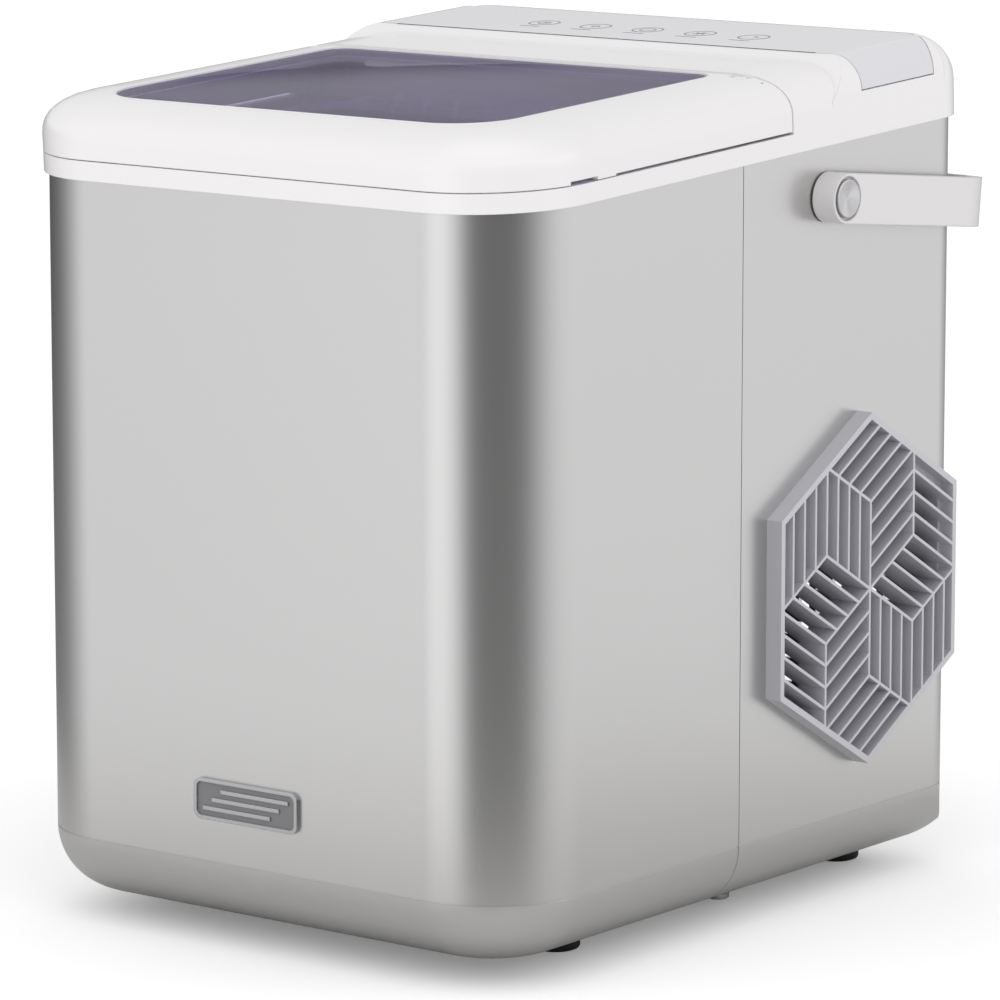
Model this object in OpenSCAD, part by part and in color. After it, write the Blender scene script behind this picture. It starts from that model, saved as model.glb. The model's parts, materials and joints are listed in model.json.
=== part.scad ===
// Countertop ice maker: a bullet-ice machine with a tilted lid, a bail handle and side grilles.
// Millimetres, Z up. The origin is the centre of the bounding box at floor level; the front faces -Y.

/* [Body] */
// Width of the body across the sides
body_w = 222; // [200:1:260]
// Depth of the body from front to back
body_d = 268; // [250:1:320]
// Height of the seam under the lid, at the front
seam_z = 269.4; // [255:0.1:310]
// Slope of the whole top, rising to the rear, in degrees
top_tilt = 2.9; // [1.5:0.1:4]
// Plan radius of the two front corners
front_r = 37; // [28:1:45]
// Plan radius of the two rear corners
rear_r = 18; // [14:1:22]
// Thickness of the housing walls
wall = 2; // [1.5:0.1:3]
// Radius of the curved skirt at the bottom
skirt_r = 23; // [18:1:26]
// Height of the underside above the floor
base_z = 8; // [6:0.5:12]

/* [Top] */
// Height of the lid above the seam
lid_h = 19.8; // [17:0.1:26]
// Height of the control deck above the seam
deck_h = 22; // [20:0.1:28]
// Height of the white band under the seam
band_h = 6.9; // [5:0.1:10]
// How far the band stands out from the body
band_over = 2; // [1:0.1:3]
// Length of the lid from the front of the body to the split
lid_len = 155.6; // [145:0.1:175]
// Radius of the lid hinge pins
lid_pin_r = 1.5; // [1.2:0.1:1.8]

/* [Handle] */
// Height of the handle pivots
pivot_z = 253.5; // [235:0.5:290]
// Distance of the pivots behind the middle of the body
pivot_y = 44.6; // [40:0.1:50]
// Depth of the handle section
handle_h = 17.7; // [14:0.1:22]
// Thickness of the handle strap
handle_t = 5.2; // [4:0.1:6]
// Angle the folded handle hangs below level, in degrees
handle_rest = 6.3; // [4:0.1:9]
// Radius of the pivot bushes
bush_r = 5; // [4:0.1:6]

/* [Grilles] */
// Distance from the middle of a side grille to its corners
grille_r = 62.7; // [52:0.1:66]
// Height of the middle of the side grilles
grille_z = 112.4; // [105:0.1:125]
// Distance of the grille middle behind the middle of the body
grille_y = 65.4; // [62:0.1:68]
// Thickness of one grille slat
slat_t = 1.1; // [0.9:0.1:1.6]
// How far a grille stands out from the side
grille_out = 6.4; // [4:0.1:8]

/* [Ice making] */
// Number of cooling fingers
fingers = 9; // [6:1:9]
// Radius of one cooling finger
finger_r = 4.2; // [3.5:0.1:4.8]
// Inner radius of the tilting water tray
tray_r = 22; // [20:0.5:23]
// Height of the tray pivot
tray_z = 206; // [200:1:212]
// Radius of the tray shaft
shaft_r = 3; // [2.5:0.1:3.5]
// Radius of the fan blades
fan_r = 38; // [32:1:38]
// Radius of the compressor shell
comp_r = 42; // [34:1:43]
// Radius of the opening in the cord gland
gland_r = 4; // [3:0.1:5]

/* [Clearances] */
// Running clearance of a pin or shaft, on the radius
run_gap = 0.06; // [0.02:0.01:0.1]
// Gap between fixed pieces that sit side by side
fit_gap = 0.3; // [0.1:0.1:0.5]
// Gap between the lid and the control deck
split_gap = 0.6; // [0.5:0.1:1]

/* [Hidden] */
$fn = 96;
eps = 0.01;
far = 600;
joint_swell = 0.35;

// body
hw = body_w / 2;
hd = body_d / 2;
crease_z = base_z + skirt_r;
split_y = -4.7;
handle_reach = 99.3;

// gland and feet
gland_x = -70;
gland_z = 48;
foot_x = 73;
foot_y = [-60, 110];
foot_r = 8.6;
boss_r = 9.5;
drain_x = 80;
drain_y = 26;
screw_x = 86;
screw_z = [38, 232];

// badge
badge_x = -3;
badge_z = 53;
badge_pin = 19;

// the origin is the middle of the bounding box, front of the lid to back of the handle
handle_back = pivot_y + (handle_reach + handle_t) * cos(handle_rest) + handle_h / 2 * sin(handle_rest);
lid_front = -hd - band_over * cos(top_tilt) - 6 * sin(top_tilt);
frame_y = -(handle_back + lid_front) / 2;

// slope frame: Y along the slope from the front of the body, Z up from the seam
top_w = body_w + 2 * band_over;
top_d = body_d + 2 * band_over;
top_fr = front_r + band_over;
top_rr = rear_r + band_over;
slope_k = tan(top_tilt);
lid_seam = 0.3;
side_seam = 0.9;
lid_wall = 2.4;
pin_y = lid_len - 3.4;
pin_z = lid_h - 3.6;
knuckle_r = 3.4;
knuckle_in = 86;
knuckle_out = 103;
lug_x = 94.5;
lug_w = 5.4;
win_x = 85;
win_y0 = 16.5;
win_y1 = lid_len - 4.2;
win_t = 2.5;
win_drop = 0.4;
deck_y = lid_len + split_gap;
riser_y0 = 186;
riser_y1 = 197.6;
shoulder_r = 12;
rear_fillet = 16;
deck_wall = 2.5;
top_plate = 3;
mouth_x = 90.5;
mouth_y0 = 15;

// fascia
fascia_t = 2;
fascia_x = 95;
fascia_y0 = riser_y1;
fascia_y1 = 254;
tab_y0 = 202;
tab_y1 = 243;
tab_z = 10;
icon_pitch = 23.6;
icon_x = 3;
icon_y = 222;

// liner and tank
liner_x = 93;
liner_t = 2.5;
liner_y0 = -121;
liner_y1 = 44;
liner_r = 12;
tank_y1 = 2;
tank_z = 72;
shelf_z = 128;
rail_z = 164;
rail_w = 6;

// basket and scoop
basket_x = 81;
basket_y0 = -112;
basket_y1 = -31;
basket_z = 108;
basket_h = 60;
basket_t = 2;

// ice making
tray_y = 5;
tray_t = 2;
tray_x = 66;
shaft_x0 = -79;
shaft_x1 = 82;
bracket_x = 72;
bracket_t = 4;
evap_z = 238;
pusher_r = tray_r + 3.5;
pusher_x = 68.6;
motor_x = 77;
motor_r = 13;

// cooling side
fan_x = -101;
fan_y = 80;
fan_z = 98;
hub_r = 15;
cond_x0 = -76;
cond_x1 = -58;
cond_y0 = 46;
cond_y1 = 119;
cond_z1 = 150;
comp_x = -8;
comp_y = 70;
comp_z0 = 22;
comp_h = 92;

// ---------- helpers ----------

module in_frame() {
  translate([0, frame_y, 0]) children();
}

module on_slope() {
  translate([0, -hd, seam_z]) rotate([top_tilt, 0, 0]) children();
}

module both_sides() {
  children();
  mirror([1, 0, 0]) children();
}

module box(x0, x1, y0, y1, z0, z1) {
  translate([x0, y0, z0]) cube([x1 - x0, y1 - y0, z1 - z0]);
}

module rod_x(x0, x1, y, z, r) {
  translate([x0, y, z]) rotate([0, 90, 0]) cylinder(h = x1 - x0, r = r);
}

module rod_y(x, y0, y1, z, r) {
  translate([x, y1, z]) rotate([90, 0, 0]) cylinder(h = y1 - y0, r = r);
}

module rod_z(x, y, z0, z1, r) {
  translate([x, y, z0]) cylinder(h = z1 - z0, r = r);
}

// rounded rectangle in plan; the front edge is at Y = 0
module plan(w, d, fr, rr) {
  translate([-w / 2 + fr, 0]) square([w - 2 * fr, d / 2]);
  translate([-w / 2, fr]) square([w, d - fr - rr]);
  translate([-w / 2 + rr, d / 2]) square([w - 2 * rr, d / 2]);
  for (s = [-1, 1]) {
    translate([s * (w / 2 - fr), fr]) circle(r = fr);
    translate([s * (w / 2 - rr), d - rr]) circle(r = rr);
  }
}

// the body's plan, drawn inset from its outer walls
module body_plan(inset) {
  fr = max(front_r - inset, 4);
  rr = max(rear_r - inset, 4);
  translate([0, -hd + inset]) plan(body_w - 2 * inset, body_d - 2 * inset, fr, rr);
}

module round_box(x0, x1, y0, y1, z0, z1, r) {
  translate([0, 0, z0]) linear_extrude(height = z1 - z0) {
    translate([x0 + r, y0]) square([x1 - x0 - 2 * r, y1 - y0]);
    translate([x0, y0 + r]) square([x1 - x0, y1 - y0 - 2 * r]);
    for (x = [x0 + r, x1 - r]) {
      for (y = [y0 + r, y1 - r]) {
        translate([x, y]) circle(r = r);
      }
    }
  }
}

// one straight length of pipe with a round end
module pipe_run(a, b, r) {
  d = b - a;
  len_d = norm(d);
  translate(a) rotate([0, acos(d[2] / len_d), atan2(d[1], d[0])]) cylinder(h = len_d, r = r);
}

// a bent pipe: straight lengths that meet in slightly fuller round joints
module pipe(points, r) {
  for (i = [0 : len(points) - 2]) {
    pipe_run(points[i], points[i + 1], r);
  }
  for (i = [1 : len(points) - 2]) {
    translate(points[i]) sphere(r = r + joint_swell);
  }
}

// everything above a plane parallel to the sloping top
module above_slope(z) {
  on_slope() translate([-far / 2, -far / 2, z]) cube([far, far * 1.5, far]);
}

// ---------- housings ----------

// radial section of the wall from the corner axis outwards, with the skirt curve at its foot
module wall_section(inset) {
  r = front_r - inset;
  s = skirt_r - inset;
  translate([0, crease_z]) square([r, far / 2]);
  translate([0, base_z + inset]) square([r - s, s + eps]);
  intersection() {
    translate([r - s, crease_z]) circle(r = s);
    translate([0, base_z + inset]) square([r, s]);
  }
}

// the solid filled body in front of the split
module front_mass(inset) {
  ax = hw - front_r;
  ay = -hd + front_r;
  for (s = [-1, 1]) {
    translate([s * ax, ay, 0]) rotate([0, 0, s > 0 ? -90 : 180]) rotate_extrude(angle = 90) wall_section(inset);
  }
  translate([ax, ay, 0]) rotate([90, 0, -90]) linear_extrude(height = 2 * ax) wall_section(inset);
  both_sides() translate([ax, 30, 0]) rotate([90, 0, 0]) linear_extrude(height = 30 - ay) wall_section(inset);
  box(-ax, ax, ay, 30, base_z + inset, base_z + far / 2);
}

// section across one direction of the rear body, half length h
module rear_section(h, inset) {
  s = skirt_r - inset;
  translate([-h + inset, crease_z]) square([2 * h - 2 * inset, far / 2]);
  translate([-h + skirt_r, base_z + inset]) square([2 * h - 2 * skirt_r, s + eps]);
  for (k = [-1, 1]) {
    intersection() {
      translate([k * (h - skirt_r), crease_z]) circle(r = s);
      translate([-h + inset, base_z + inset]) square([2 * h - 2 * inset, s]);
    }
  }
}

module rear_mass(inset) {
  intersection() {
    translate([0, 0, base_z]) linear_extrude(height = far / 2) body_plan(inset);
    translate([0, far / 2, 0]) rotate([90, 0, 0]) linear_extrude(height = far) rear_section(hw, inset);
    translate([-far / 2, 0, 0]) rotate([90, 0, 90]) linear_extrude(height = far) rear_section(hd, inset);
  }
}

// the fine line where the skirt starts
module crease_cut() {
  translate([0, 0, crease_z - 0.3]) linear_extrude(height = 0.6) difference() {
    body_plan(-1);
    body_plan(0.4);
  }
}

// openings in the bottom: the middle, the bosses of the feet and the drain
module base_opening() {
  linear_extrude(height = base_z + wall + eps) {
    body_plan(skirt_r + 10);
    translate([drain_x, drain_y]) circle(r = 5.5);
  }
  for (x = [-foot_x, foot_x]) {
    for (y = foot_y) {
      rod_z(x, y, 0, base_z + wall + 3 + fit_gap, boss_r + fit_gap);
    }
  }
}

module front_housing() {
  color([0.78, 0.78, 0.79]) in_frame() difference() {
    front_mass(0);
    front_mass(wall);
    above_slope(-band_h);
    crease_cut();
    base_opening();
    box(-far, far, split_y - 0.15, far, -1, far);
    for (x = [badge_x - badge_pin, badge_x + badge_pin]) {
      rod_y(x, -hd - 1, -hd + wall + 1, badge_z, 1.5);
    }
  }
}

module hex_prism(r, x0, x1) {
  translate([x0, grille_y, grille_z]) rotate([0, 90, 0]) cylinder(h = x1 - x0, r = r, $fn = 6);
}

// small square ventilation holes in the rear wall
module vent_cuts() {
  for (i = [0 : 10]) {
    for (j = [0 : 9]) {
      box(3 + i * 7.5, 7.6 + i * 7.5, hd - 2 * wall, hd + 1, 40 + j * 9, 45.2 + j * 9);
    }
  }
}

module rear_housing() {
  color([0.78, 0.78, 0.79]) in_frame() difference() {
    rear_mass(0);
    rear_mass(wall);
    above_slope(-band_h);
    crease_cut();
    base_opening();
    box(-far, far, -far, split_y + 0.15, -1, far);
    hex_prism(grille_r - 1.2, 0, far);
    hex_prism(grille_r - 1.2, -far, 0);
    vent_cuts();
    rod_x(-far, far, pivot_y, pivot_z, bush_r + 0.2);
    rod_y(gland_x, hd - 5, hd + 5, gland_z, 8.2);
    for (x = [-screw_x, screw_x]) {
      for (z = screw_z) {
        rod_y(x, hd - 5, hd + 5, z, 1.7);
      }
    }
  }
}

module base_pan() {
  pan_z = base_z + wall;
  color([0.25, 0.25, 0.27]) in_frame() difference() {
    union() {
      translate([0, 0, pan_z]) linear_extrude(height = 3) body_plan(skirt_r + 2);
      for (x = [-foot_x, foot_x]) {
        for (y = foot_y) {
          rod_z(x, y, base_z - 1.5, pan_z + 3, boss_r);
        }
      }
      for (x = [comp_x - 34, comp_x + 34]) {
        for (y = [comp_y - 34, comp_y + 34]) {
          rod_z(x, y, pan_z, pan_z + 5, 8);
        }
      }
      // step that carries the condenser and the fan
      intersection() {
        box(-85, cond_x1 + 2, cond_y0 - 8, 108, pan_z, pan_z + 6);
        translate([0, 0, pan_z]) linear_extrude(height = 7) body_plan(skirt_r + 2);
      }
    }
    for (x = [-foot_x, foot_x]) {
      for (y = foot_y) {
        rod_z(x, y, 0, pan_z, 5);
      }
    }
    for (i = [0 : 6]) {
      box(-40 + i * 12, -34 + i * 12, -90, -30, 0, far);
    }
    rod_z(drain_x, drain_y, 0, far, 5.2);
  }
}

module feet() {
  color([0.05, 0.05, 0.05]) in_frame() {
    for (x = [-foot_x, foot_x]) {
      for (y = foot_y) {
        rod_z(x, y, 0, base_z - 1.5, foot_r);
        rod_z(x, y, base_z - 1.5 - eps, base_z + 1.8, 4.7);
      }
    }
  }
}

// ---------- side grilles ----------

// the six directions of the ribs from the middle of a grille, half a corner distance long
function rib(k) = grille_r / 2 * [cos(30 + 60 * k), sin(30 + 60 * k)];

// a slat as a flat strip from p along d
module strip(p, d) {
  translate(p) rotate(atan2(d[1], d[0])) translate([0, -slat_t / 2]) square([norm(d), slat_t]);
}

// the slats inside one rhombus: they run along d and are stacked along e
module slats(p, d, e) {
  for (k = [1 : 3]) {
    strip(p + e * k / 4, d);
  }
}

// twelve rhombi: six around the middle and six that reach the corners
module grille_face() {
  for (k = [0 : 2]) {
    strip(-rib(k), 2 * rib(k));
  }
  for (k = [0 : 5]) {
    strip(rib(k) - 0.01 * rib(k + 1), 1.01 * rib(k + 1));
    strip(rib(k) - 0.01 * rib(k - 1), 1.01 * rib(k - 1));
    slats([0, 0], rib(k), rib(k + 1));
    slats(rib(k), rib(k - 1), rib(k + 1));
  }
}

module hex_rim(r, t, x0, x1) {
  difference() {
    hex_prism(r, x0, x1);
    hex_prism(r - t, x0 - 1, x1 + 1);
  }
}

module side_grille() {
  face_x = hw + grille_out;
  hex_rim(grille_r + slat_t / 2, 2.6, hw, face_x);
  hex_rim(grille_r - 1.5, 2.6, hw - wall - 3, hw + 1);
  intersection() {
    translate([hw - wall - 3, grille_y, grille_z]) rotate([90, 0, 90])
      linear_extrude(height = grille_out + wall + 3) grille_face();
    union() {
      hex_prism(grille_r - 2, hw - wall - 4, hw + 1);
      hex_prism(grille_r - 1, hw, face_x + 1);
    }
  }
}

module side_grille_right() {
  color([0.72, 0.72, 0.74]) in_frame() side_grille();
}

module side_grille_left() {
  color([0.72, 0.72, 0.74]) in_frame() mirror([1, 0, 0]) side_grille();
}

// ---------- top cover and control deck (slope frame) ----------

// how high the cushion stands at an inset from its edge
function cushion(d, c, z0, n, h) = z0 + (h - z0) * pow(1 - pow(max(0, (c - d) / c), n), 1 / n);
cushion_steps = [0, 0.15, 0.5, 1.2, 2.4, 4.3, 7, 10, 14, 19, 26];

// half section of the lid cushion from its corner axis out to the edge
module cushion_section(r, h, z0) {
  polygon(concat(
    [[0, 0], [r, 0]],
    [for (d = cushion_steps) [r - d, cushion(d, 26, z0, 2.35, h)]],
    [[0, h]]
  ));
}

// filled cushion of the lid, inset by t on every side
module lid_mass(t, y1) {
  r = top_fr - t;
  ax = top_w / 2 - top_fr;
  ay = top_fr - band_over;
  for (s = [-1, 1]) {
    translate([s * ax, ay, 0]) rotate([0, 0, s > 0 ? -90 : 180]) rotate_extrude(angle = 90)
      cushion_section(r, lid_h - t, 6);
  }
  translate([ax, ay, 0]) rotate([90, 0, -90]) linear_extrude(height = 2 * ax)
    cushion_section(r, lid_h - t, 6);
  both_sides() translate([ax, y1, 0]) rotate([90, 0, 0]) linear_extrude(height = y1 - ay)
    cushion_section(r, lid_h - t, 6);
  box(-ax, ax, ay, y1, 0, lid_h - t);
}

// section of the deck's shoulder, from the rear corner axis out
module shoulder_section(r, rf, h) {
  square([r, h - rf]);
  square([r - rf, h]);
  intersection() {
    translate([r - rf, h - rf]) circle(r = rf);
    translate([0, h - rf - eps]) square([r, rf + eps]);
  }
}

// filled raised deck, with round shoulders at its sides and rear
module deck_mass(t) {
  h = deck_h - t;
  rf = rear_fillet - t;
  r = top_rr - t;
  ax = top_w / 2 - top_rr;
  ay = top_d - band_over - top_rr;
  intersection() {
    union() {
      for (s = [-1, 1]) {
        translate([s * ax, ay, 0]) rotate([0, 0, s > 0 ? 0 : 90]) rotate_extrude(angle = 90)
          shoulder_section(r, rf, h);
      }
      translate([-ax, ay, 0]) rotate([90, 0, 90]) linear_extrude(height = 2 * ax) shoulder_section(r, rf, h);
      both_sides() translate([ax, ay, 0]) rotate([90, 0, 0]) linear_extrude(height = ay - deck_y - t)
        shoulder_section(r, shoulder_r - t, h);
      box(-ax, ax, deck_y + t, ay + eps, 0, h);
    }
    translate([-far / 2, 0, 0]) rotate([90, 0, 90]) linear_extrude(height = far) translate([t, -t]) polygon([
      [riser_y0 - 6, 0], [riser_y0 - 6, lid_h - 11.8], [riser_y0, lid_h - 5.3], [riser_y0 + 4, lid_h - 1.8],
      [riser_y0 + 7.2, lid_h + 0.5], [riser_y1 - 1.5, deck_h - 0.3], [riser_y1, deck_h + eps],
      [far, deck_h + eps], [far, 0]
    ]);
  }
}

// the low part of the deck, with the same section as the lid
module low_deck_mass(t) {
  r = top_fr - t;
  ax = top_w / 2 - top_fr;
  y0 = deck_y + t;
  y1 = riser_y1 + 12;
  both_sides() translate([ax, y1, 0]) rotate([90, 0, 0]) linear_extrude(height = y1 - y0)
    cushion_section(r, lid_h - t, 6);
  box(-ax, ax, y0, y1, 0, lid_h - t);
}

// region of the fascia: a top panel that runs out over both shoulders
module fascia_zone(g) {
  translate([0, 0, tab_z - g]) linear_extrude(height = far / 2) polygon([
    [-fascia_x, fascia_y0 - g], [fascia_x, fascia_y0 - g], [far / 2, tab_y0 + 3 - g], [far / 2, tab_y1 + g],
    [top_w / 2, tab_y1 + g], [fascia_x + g, fascia_y1 + g], [-fascia_x - g, fascia_y1 + g], [-top_w / 2, tab_y1 + g],
    [-far / 2, tab_y1 + g], [-far / 2, tab_y0 + 3 - g]
  ]);
}

module fascia_shell(out_t, in_t) {
  difference() {
    deck_mass(out_t);
    deck_mass(in_t);
  }
}

module control_fascia() {
  color([0.86, 0.86, 0.87]) in_frame() on_slope() difference() {
    intersection() {
      fascia_shell(0, fascia_t);
      fascia_zone(0);
    }
    for (i = [-2 : 2]) {
      rod_z(icon_x + i * icon_pitch, icon_y, deck_h - 0.4, deck_h + 1, 6);
    }
  }
}

module touch_icons() {
  color([0.35, 0.36, 0.4]) in_frame() on_slope() for (i = [-2 : 2]) {
    difference() {
      rod_z(icon_x + i * icon_pitch, icon_y, deck_h - 0.4, deck_h, 5.9);
      rod_z(icon_x + i * icon_pitch, icon_y, deck_h - 0.2, deck_h + 1, 5.1);
      box(icon_x + i * icon_pitch - 1, icon_x + i * icon_pitch + 1, icon_y + 3, icon_y + 8, deck_h - 0.2, deck_h + 1);
    }
    rod_z(icon_x + i * icon_pitch, icon_y, deck_h - 0.21, deck_h, 1.2 + 0.3 * (i + 2));
  }
}

module top_cover() {
  color([0.92, 0.91, 0.92]) in_frame() on_slope() difference() {
    union() {
      // band and plate
      translate([0, -band_over, -band_h]) linear_extrude(height = band_h) plan(top_w, top_d, top_fr, top_rr);
      // deck
      difference() {
        union() {
          deck_mass(0);
          low_deck_mass(0);
        }
        deck_mass(fascia_t + deck_wall);
        low_deck_mass(deck_wall);
      }
      // locating lip inside the housings
      translate([0, 0, -band_h - 5]) linear_extrude(height = 5 + eps) translate([0, hd]) body_plan(wall + 0.3);
      // hinge lugs
      both_sides() {
        rod_x(lug_x - lug_w / 2, lug_x + lug_w / 2, pin_y, pin_z, knuckle_r - 0.3);
        box(lug_x - lug_w / 2, lug_x + lug_w / 2, pin_y, deck_y + 1, pin_z - 2.6, pin_z + 1.8);
      }
    }
    // room under the plate
    translate([0, 0, -band_h - 6]) linear_extrude(height = band_h + 6 - top_plate) translate([0, hd])
      body_plan(wall + 2.5);
    // mouth of the ice compartment
    translate([0, 0, -band_h]) round_box(-mouth_x, mouth_x, mouth_y0, lid_len - 5, 0, band_h + 1, liner_r);
    // opening under the deck for the electronics
    box(-80, 80, riser_y1 + 4, top_d - 40, -band_h, 1);
    // seat of the fascia
    intersection() {
      fascia_shell(-eps, fascia_t + 0.1);
      fascia_zone(0.35);
    }
    both_sides() rod_x(knuckle_in, knuckle_out, pin_y, pin_z, lid_pin_r);
  }
}

module control_board() {
  color([0.1, 0.35, 0.2]) in_frame() on_slope() {
    box(-84, 84, icon_y - 12, icon_y + 18, deck_h - 10, deck_h - 8.4);
    for (i = [-2 : 2]) {
      rod_z(icon_x + i * icon_pitch, icon_y, deck_h - 8.4 - eps, deck_h - fascia_t - deck_wall - 0.3, 3.2);
    }
    box(-70, -40, icon_y - 8, icon_y + 10, deck_h - 14, deck_h - 10 + eps);
    box(20, 60, icon_y - 8, icon_y + 8, deck_h - 13, deck_h - 10 + eps);
  }
}

// ---------- lid (slope frame) ----------

module window_plan(g, y0, y1) {
  r0 = 22 - g;
  r1 = 9 - g;
  translate([0, y0 + g]) plan(2 * (win_x - g), y1 - y0 - 2 * g, r0, r1);
}

// the lid's knuckles, left out around the two fixed lugs
module lug_room() {
  both_sides() box(lug_x - lug_w / 2 - fit_gap, lug_x + lug_w / 2 + fit_gap, pin_y - knuckle_r - 0.6, far, -1, far / 4);
}

module lid_frame() {
  color([0.93, 0.92, 0.93]) in_frame() on_slope() difference() {
    union() {
      difference() {
        lid_mass(0, lid_len);
        translate([0, 0, -eps]) lid_mass(lid_wall, lid_len - lid_wall);
      }
      // ledge that carries the window
      translate([0, 0, lid_h - win_t - win_drop - 1.8]) linear_extrude(height = 2.2) difference() {
        window_plan(-5, win_y0, win_y1 - 2);
        window_plan(4, win_y0, win_y1);
      }
      intersection() {
        union() {
          both_sides() rod_x(knuckle_in, knuckle_out, pin_y, pin_z, knuckle_r);
        }
        lid_mass(0, lid_len);
      }
    }
    // window opening
    translate([0, 0, lid_h - win_t - win_drop]) linear_extrude(height = far / 4) window_plan(0, win_y0, win_y1);
    linear_extrude(height = far / 4) window_plan(4, win_y0, win_y1);
    // seam at the bottom edge, wider along the sides
    translate([-far / 2, -far / 2, -far / 2]) cube([far, far, far / 2 + lid_seam]);
    box(-far, far, 54, far, -1, side_seam);
    // rear edge rounded about the hinge
    difference() {
      box(-far, far, pin_y, far, pin_z, far / 4);
      rod_x(-far, far, pin_y, pin_z, knuckle_r);
    }
    lug_room();
    both_sides() rod_x(knuckle_in, knuckle_out + 0.2, pin_y, pin_z, lid_pin_r + run_gap);
    // rear wall opened between the knuckles
    box(-knuckle_in + 3, knuckle_in - 3, lid_len - 3, far, -1, lid_h - win_t - win_drop - 2.2);
    // finger notch
    box(hw - 3, far, 30, 44, -1, 1.5);
  }
}

module lid_window() {
  color([0.45, 0.45, 0.58, 0.55]) in_frame() on_slope() {
    translate([0, 0, lid_h - win_t - win_drop]) linear_extrude(height = win_t) window_plan(0.2, win_y0, win_y1);
  }
}

module hinge_pins() {
  color([0.75, 0.75, 0.77]) in_frame() on_slope() both_sides()
    rod_x(knuckle_in + 0.3, knuckle_out - 0.2, pin_y, pin_z, lid_pin_r);
}

module lid_buffers() {
  color([0.8, 0.8, 0.82]) in_frame() on_slope() intersection() {
    for (x = [-60, 60]) {
      rod_z(x, 6.8, 0.05, 2.2, 2.6);
      rod_z(x, 6.8, 2.2 - eps, lid_h - 5.2, 1.8);
    }
    lid_mass(lid_wall + 0.02, lid_len - lid_wall - 0.02);
  }
}

// ---------- handle ----------

module bail_plan() {
  out_x = hw + 9.5;
  in_x = out_x - handle_t;
  out_r = 28.6;
  in_r = out_r - handle_t;
  difference() {
    translate([-out_x, 0]) square([2 * out_x, handle_reach + handle_t - out_r]);
    translate([-in_x, -1]) square([2 * in_x, far]);
  }
  difference() {
    union() {
      translate([-out_x + out_r, handle_reach]) square([2 * (out_x - out_r), handle_t]);
      for (s = [-1, 1]) {
        translate([s * (out_x - out_r), handle_reach + handle_t - out_r]) circle(r = out_r);
      }
    }
    for (s = [-1, 1]) {
      translate([s * (out_x - out_r), handle_reach + handle_t - out_r]) circle(r = in_r);
    }
    translate([-out_x + out_r, 0]) square([2 * (out_x - out_r), handle_reach]);
    translate([-far, -far]) square([2 * far, far + handle_reach + handle_t - out_r]);
  }
}

module handle() {
  color([0.87, 0.86, 0.87]) in_frame() translate([0, pivot_y, pivot_z]) rotate([-handle_rest, 0, 0]) {
    difference() {
      union() {
        translate([0, 0, -handle_h / 2]) linear_extrude(height = handle_h) bail_plan();
        both_sides() rod_x(hw + 0.5, hw + 9.5, 0, 0, handle_h / 2);
      }
      both_sides() rod_x(hw, hw + 7.2, 0, 0, bush_r + run_gap);
      both_sides() rod_x(hw + 8, far, 0, 0, handle_h / 2 - 1.1);
    }
  }
}

module handle_caps() {
  color([0.8, 0.8, 0.82]) in_frame() translate([0, pivot_y, pivot_z]) both_sides()
    rod_x(hw + 8, hw + 10.2, 0, 0, handle_h / 2 - 1.3);
}

module handle_bushes() {
  color([0.6, 0.6, 0.62]) in_frame() translate([0, pivot_y, pivot_z]) both_sides() {
    rod_x(hw - wall - 0.2, hw + 7, 0, 0, bush_r);
    rod_x(hw - wall - 3.2, hw - wall - 0.2 + eps, 0, 0, bush_r + 4);
  }
}

module badge_plate() {
  bz = badge_z;
  color([0.7, 0.7, 0.72]) in_frame() translate([badge_x, 0, 0]) {
    difference() {
      union() {
        round_slab(46, 14.4, 3, 1.4, bz);
        for (x = [-badge_pin, badge_pin]) {
          rod_y(x, -hd - 0.1, -hd + wall + 2, bz, 1.3);
        }
      }
      translate([0, -0.7, 0]) round_slab(43.4, 11.8, 2, 1.4, bz);
    }
    for (k = [-1, 0, 1]) {
      box(-15 + 4 * k, 15 + 4 * k, -hd - 1.3, -hd - 0.6, bz - 0.7 + 3.2 * k, bz + 0.7 + 3.2 * k);
    }
  }
}

// a small rounded plate on the front face
module round_slab(w, h, r, t, z) {
  translate([0, -hd, z]) rotate([90, 0, 0]) linear_extrude(height = t) {
    square([w - 2 * r, h], center = true);
    square([w, h - 2 * r], center = true);
    for (sx = [-1, 1]) {
      for (sz = [-1, 1]) {
        translate([sx * (w / 2 - r), sz * (h / 2 - r)]) circle(r = r);
      }
    }
  }
}

// ---------- ice compartment ----------

module liner_mass(t, top) {
  round_box(-liner_x + t, liner_x - t, liner_y0 + t, liner_y1 - t, shelf_z + t, top, liner_r - t);
  round_box(-liner_x + t, liner_x - t, liner_y0 + t, tank_y1 - t, tank_z + t, top, liner_r - t);
}

module liner() {
  color([0.9, 0.91, 0.93]) in_frame() difference() {
    union() {
      difference() {
        liner_mass(0, far / 2);
        liner_mass(liner_t, far / 2 + 1);
      }
      // rails for the basket
      both_sides() {
        box(liner_x - liner_t - rail_w, liner_x - liner_t + eps, basket_y0 + 8, basket_y1 - 8, rail_z - 4, rail_z);
      }
    }
    above_slope(-top_plate);
    rod_z(70, -12, 0, tank_z + 10, 4);
    rod_y(pump_x, liner_y1 - 10, liner_y1 + 5, evap_z + 8, 4.4);
    for (x = [-30, 30]) {
      rod_y(x, liner_y1 - 10, liner_y1 + 5, evap_z + 2, 3.4);
    }
  }
}

module insulation() {
  color([0.95, 0.95, 0.95]) in_frame() difference() {
    translate([0, 0, 60]) linear_extrude(height = 192) body_plan(wall + 0.6);
    liner_mass(-fit_gap, far);
    box(-far, far, split_y - 2, far, -1, far);
    box(-liner_x - fit_gap, liner_x + fit_gap, liner_y0 + 30, far, tank_z, far);
    rod_z(70, -12, 0, far, 7);
    for (x = [badge_x - badge_pin, badge_x + badge_pin]) {
      rod_y(x, -hd, -hd + 8, badge_z, 3);
    }
  }
}

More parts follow.
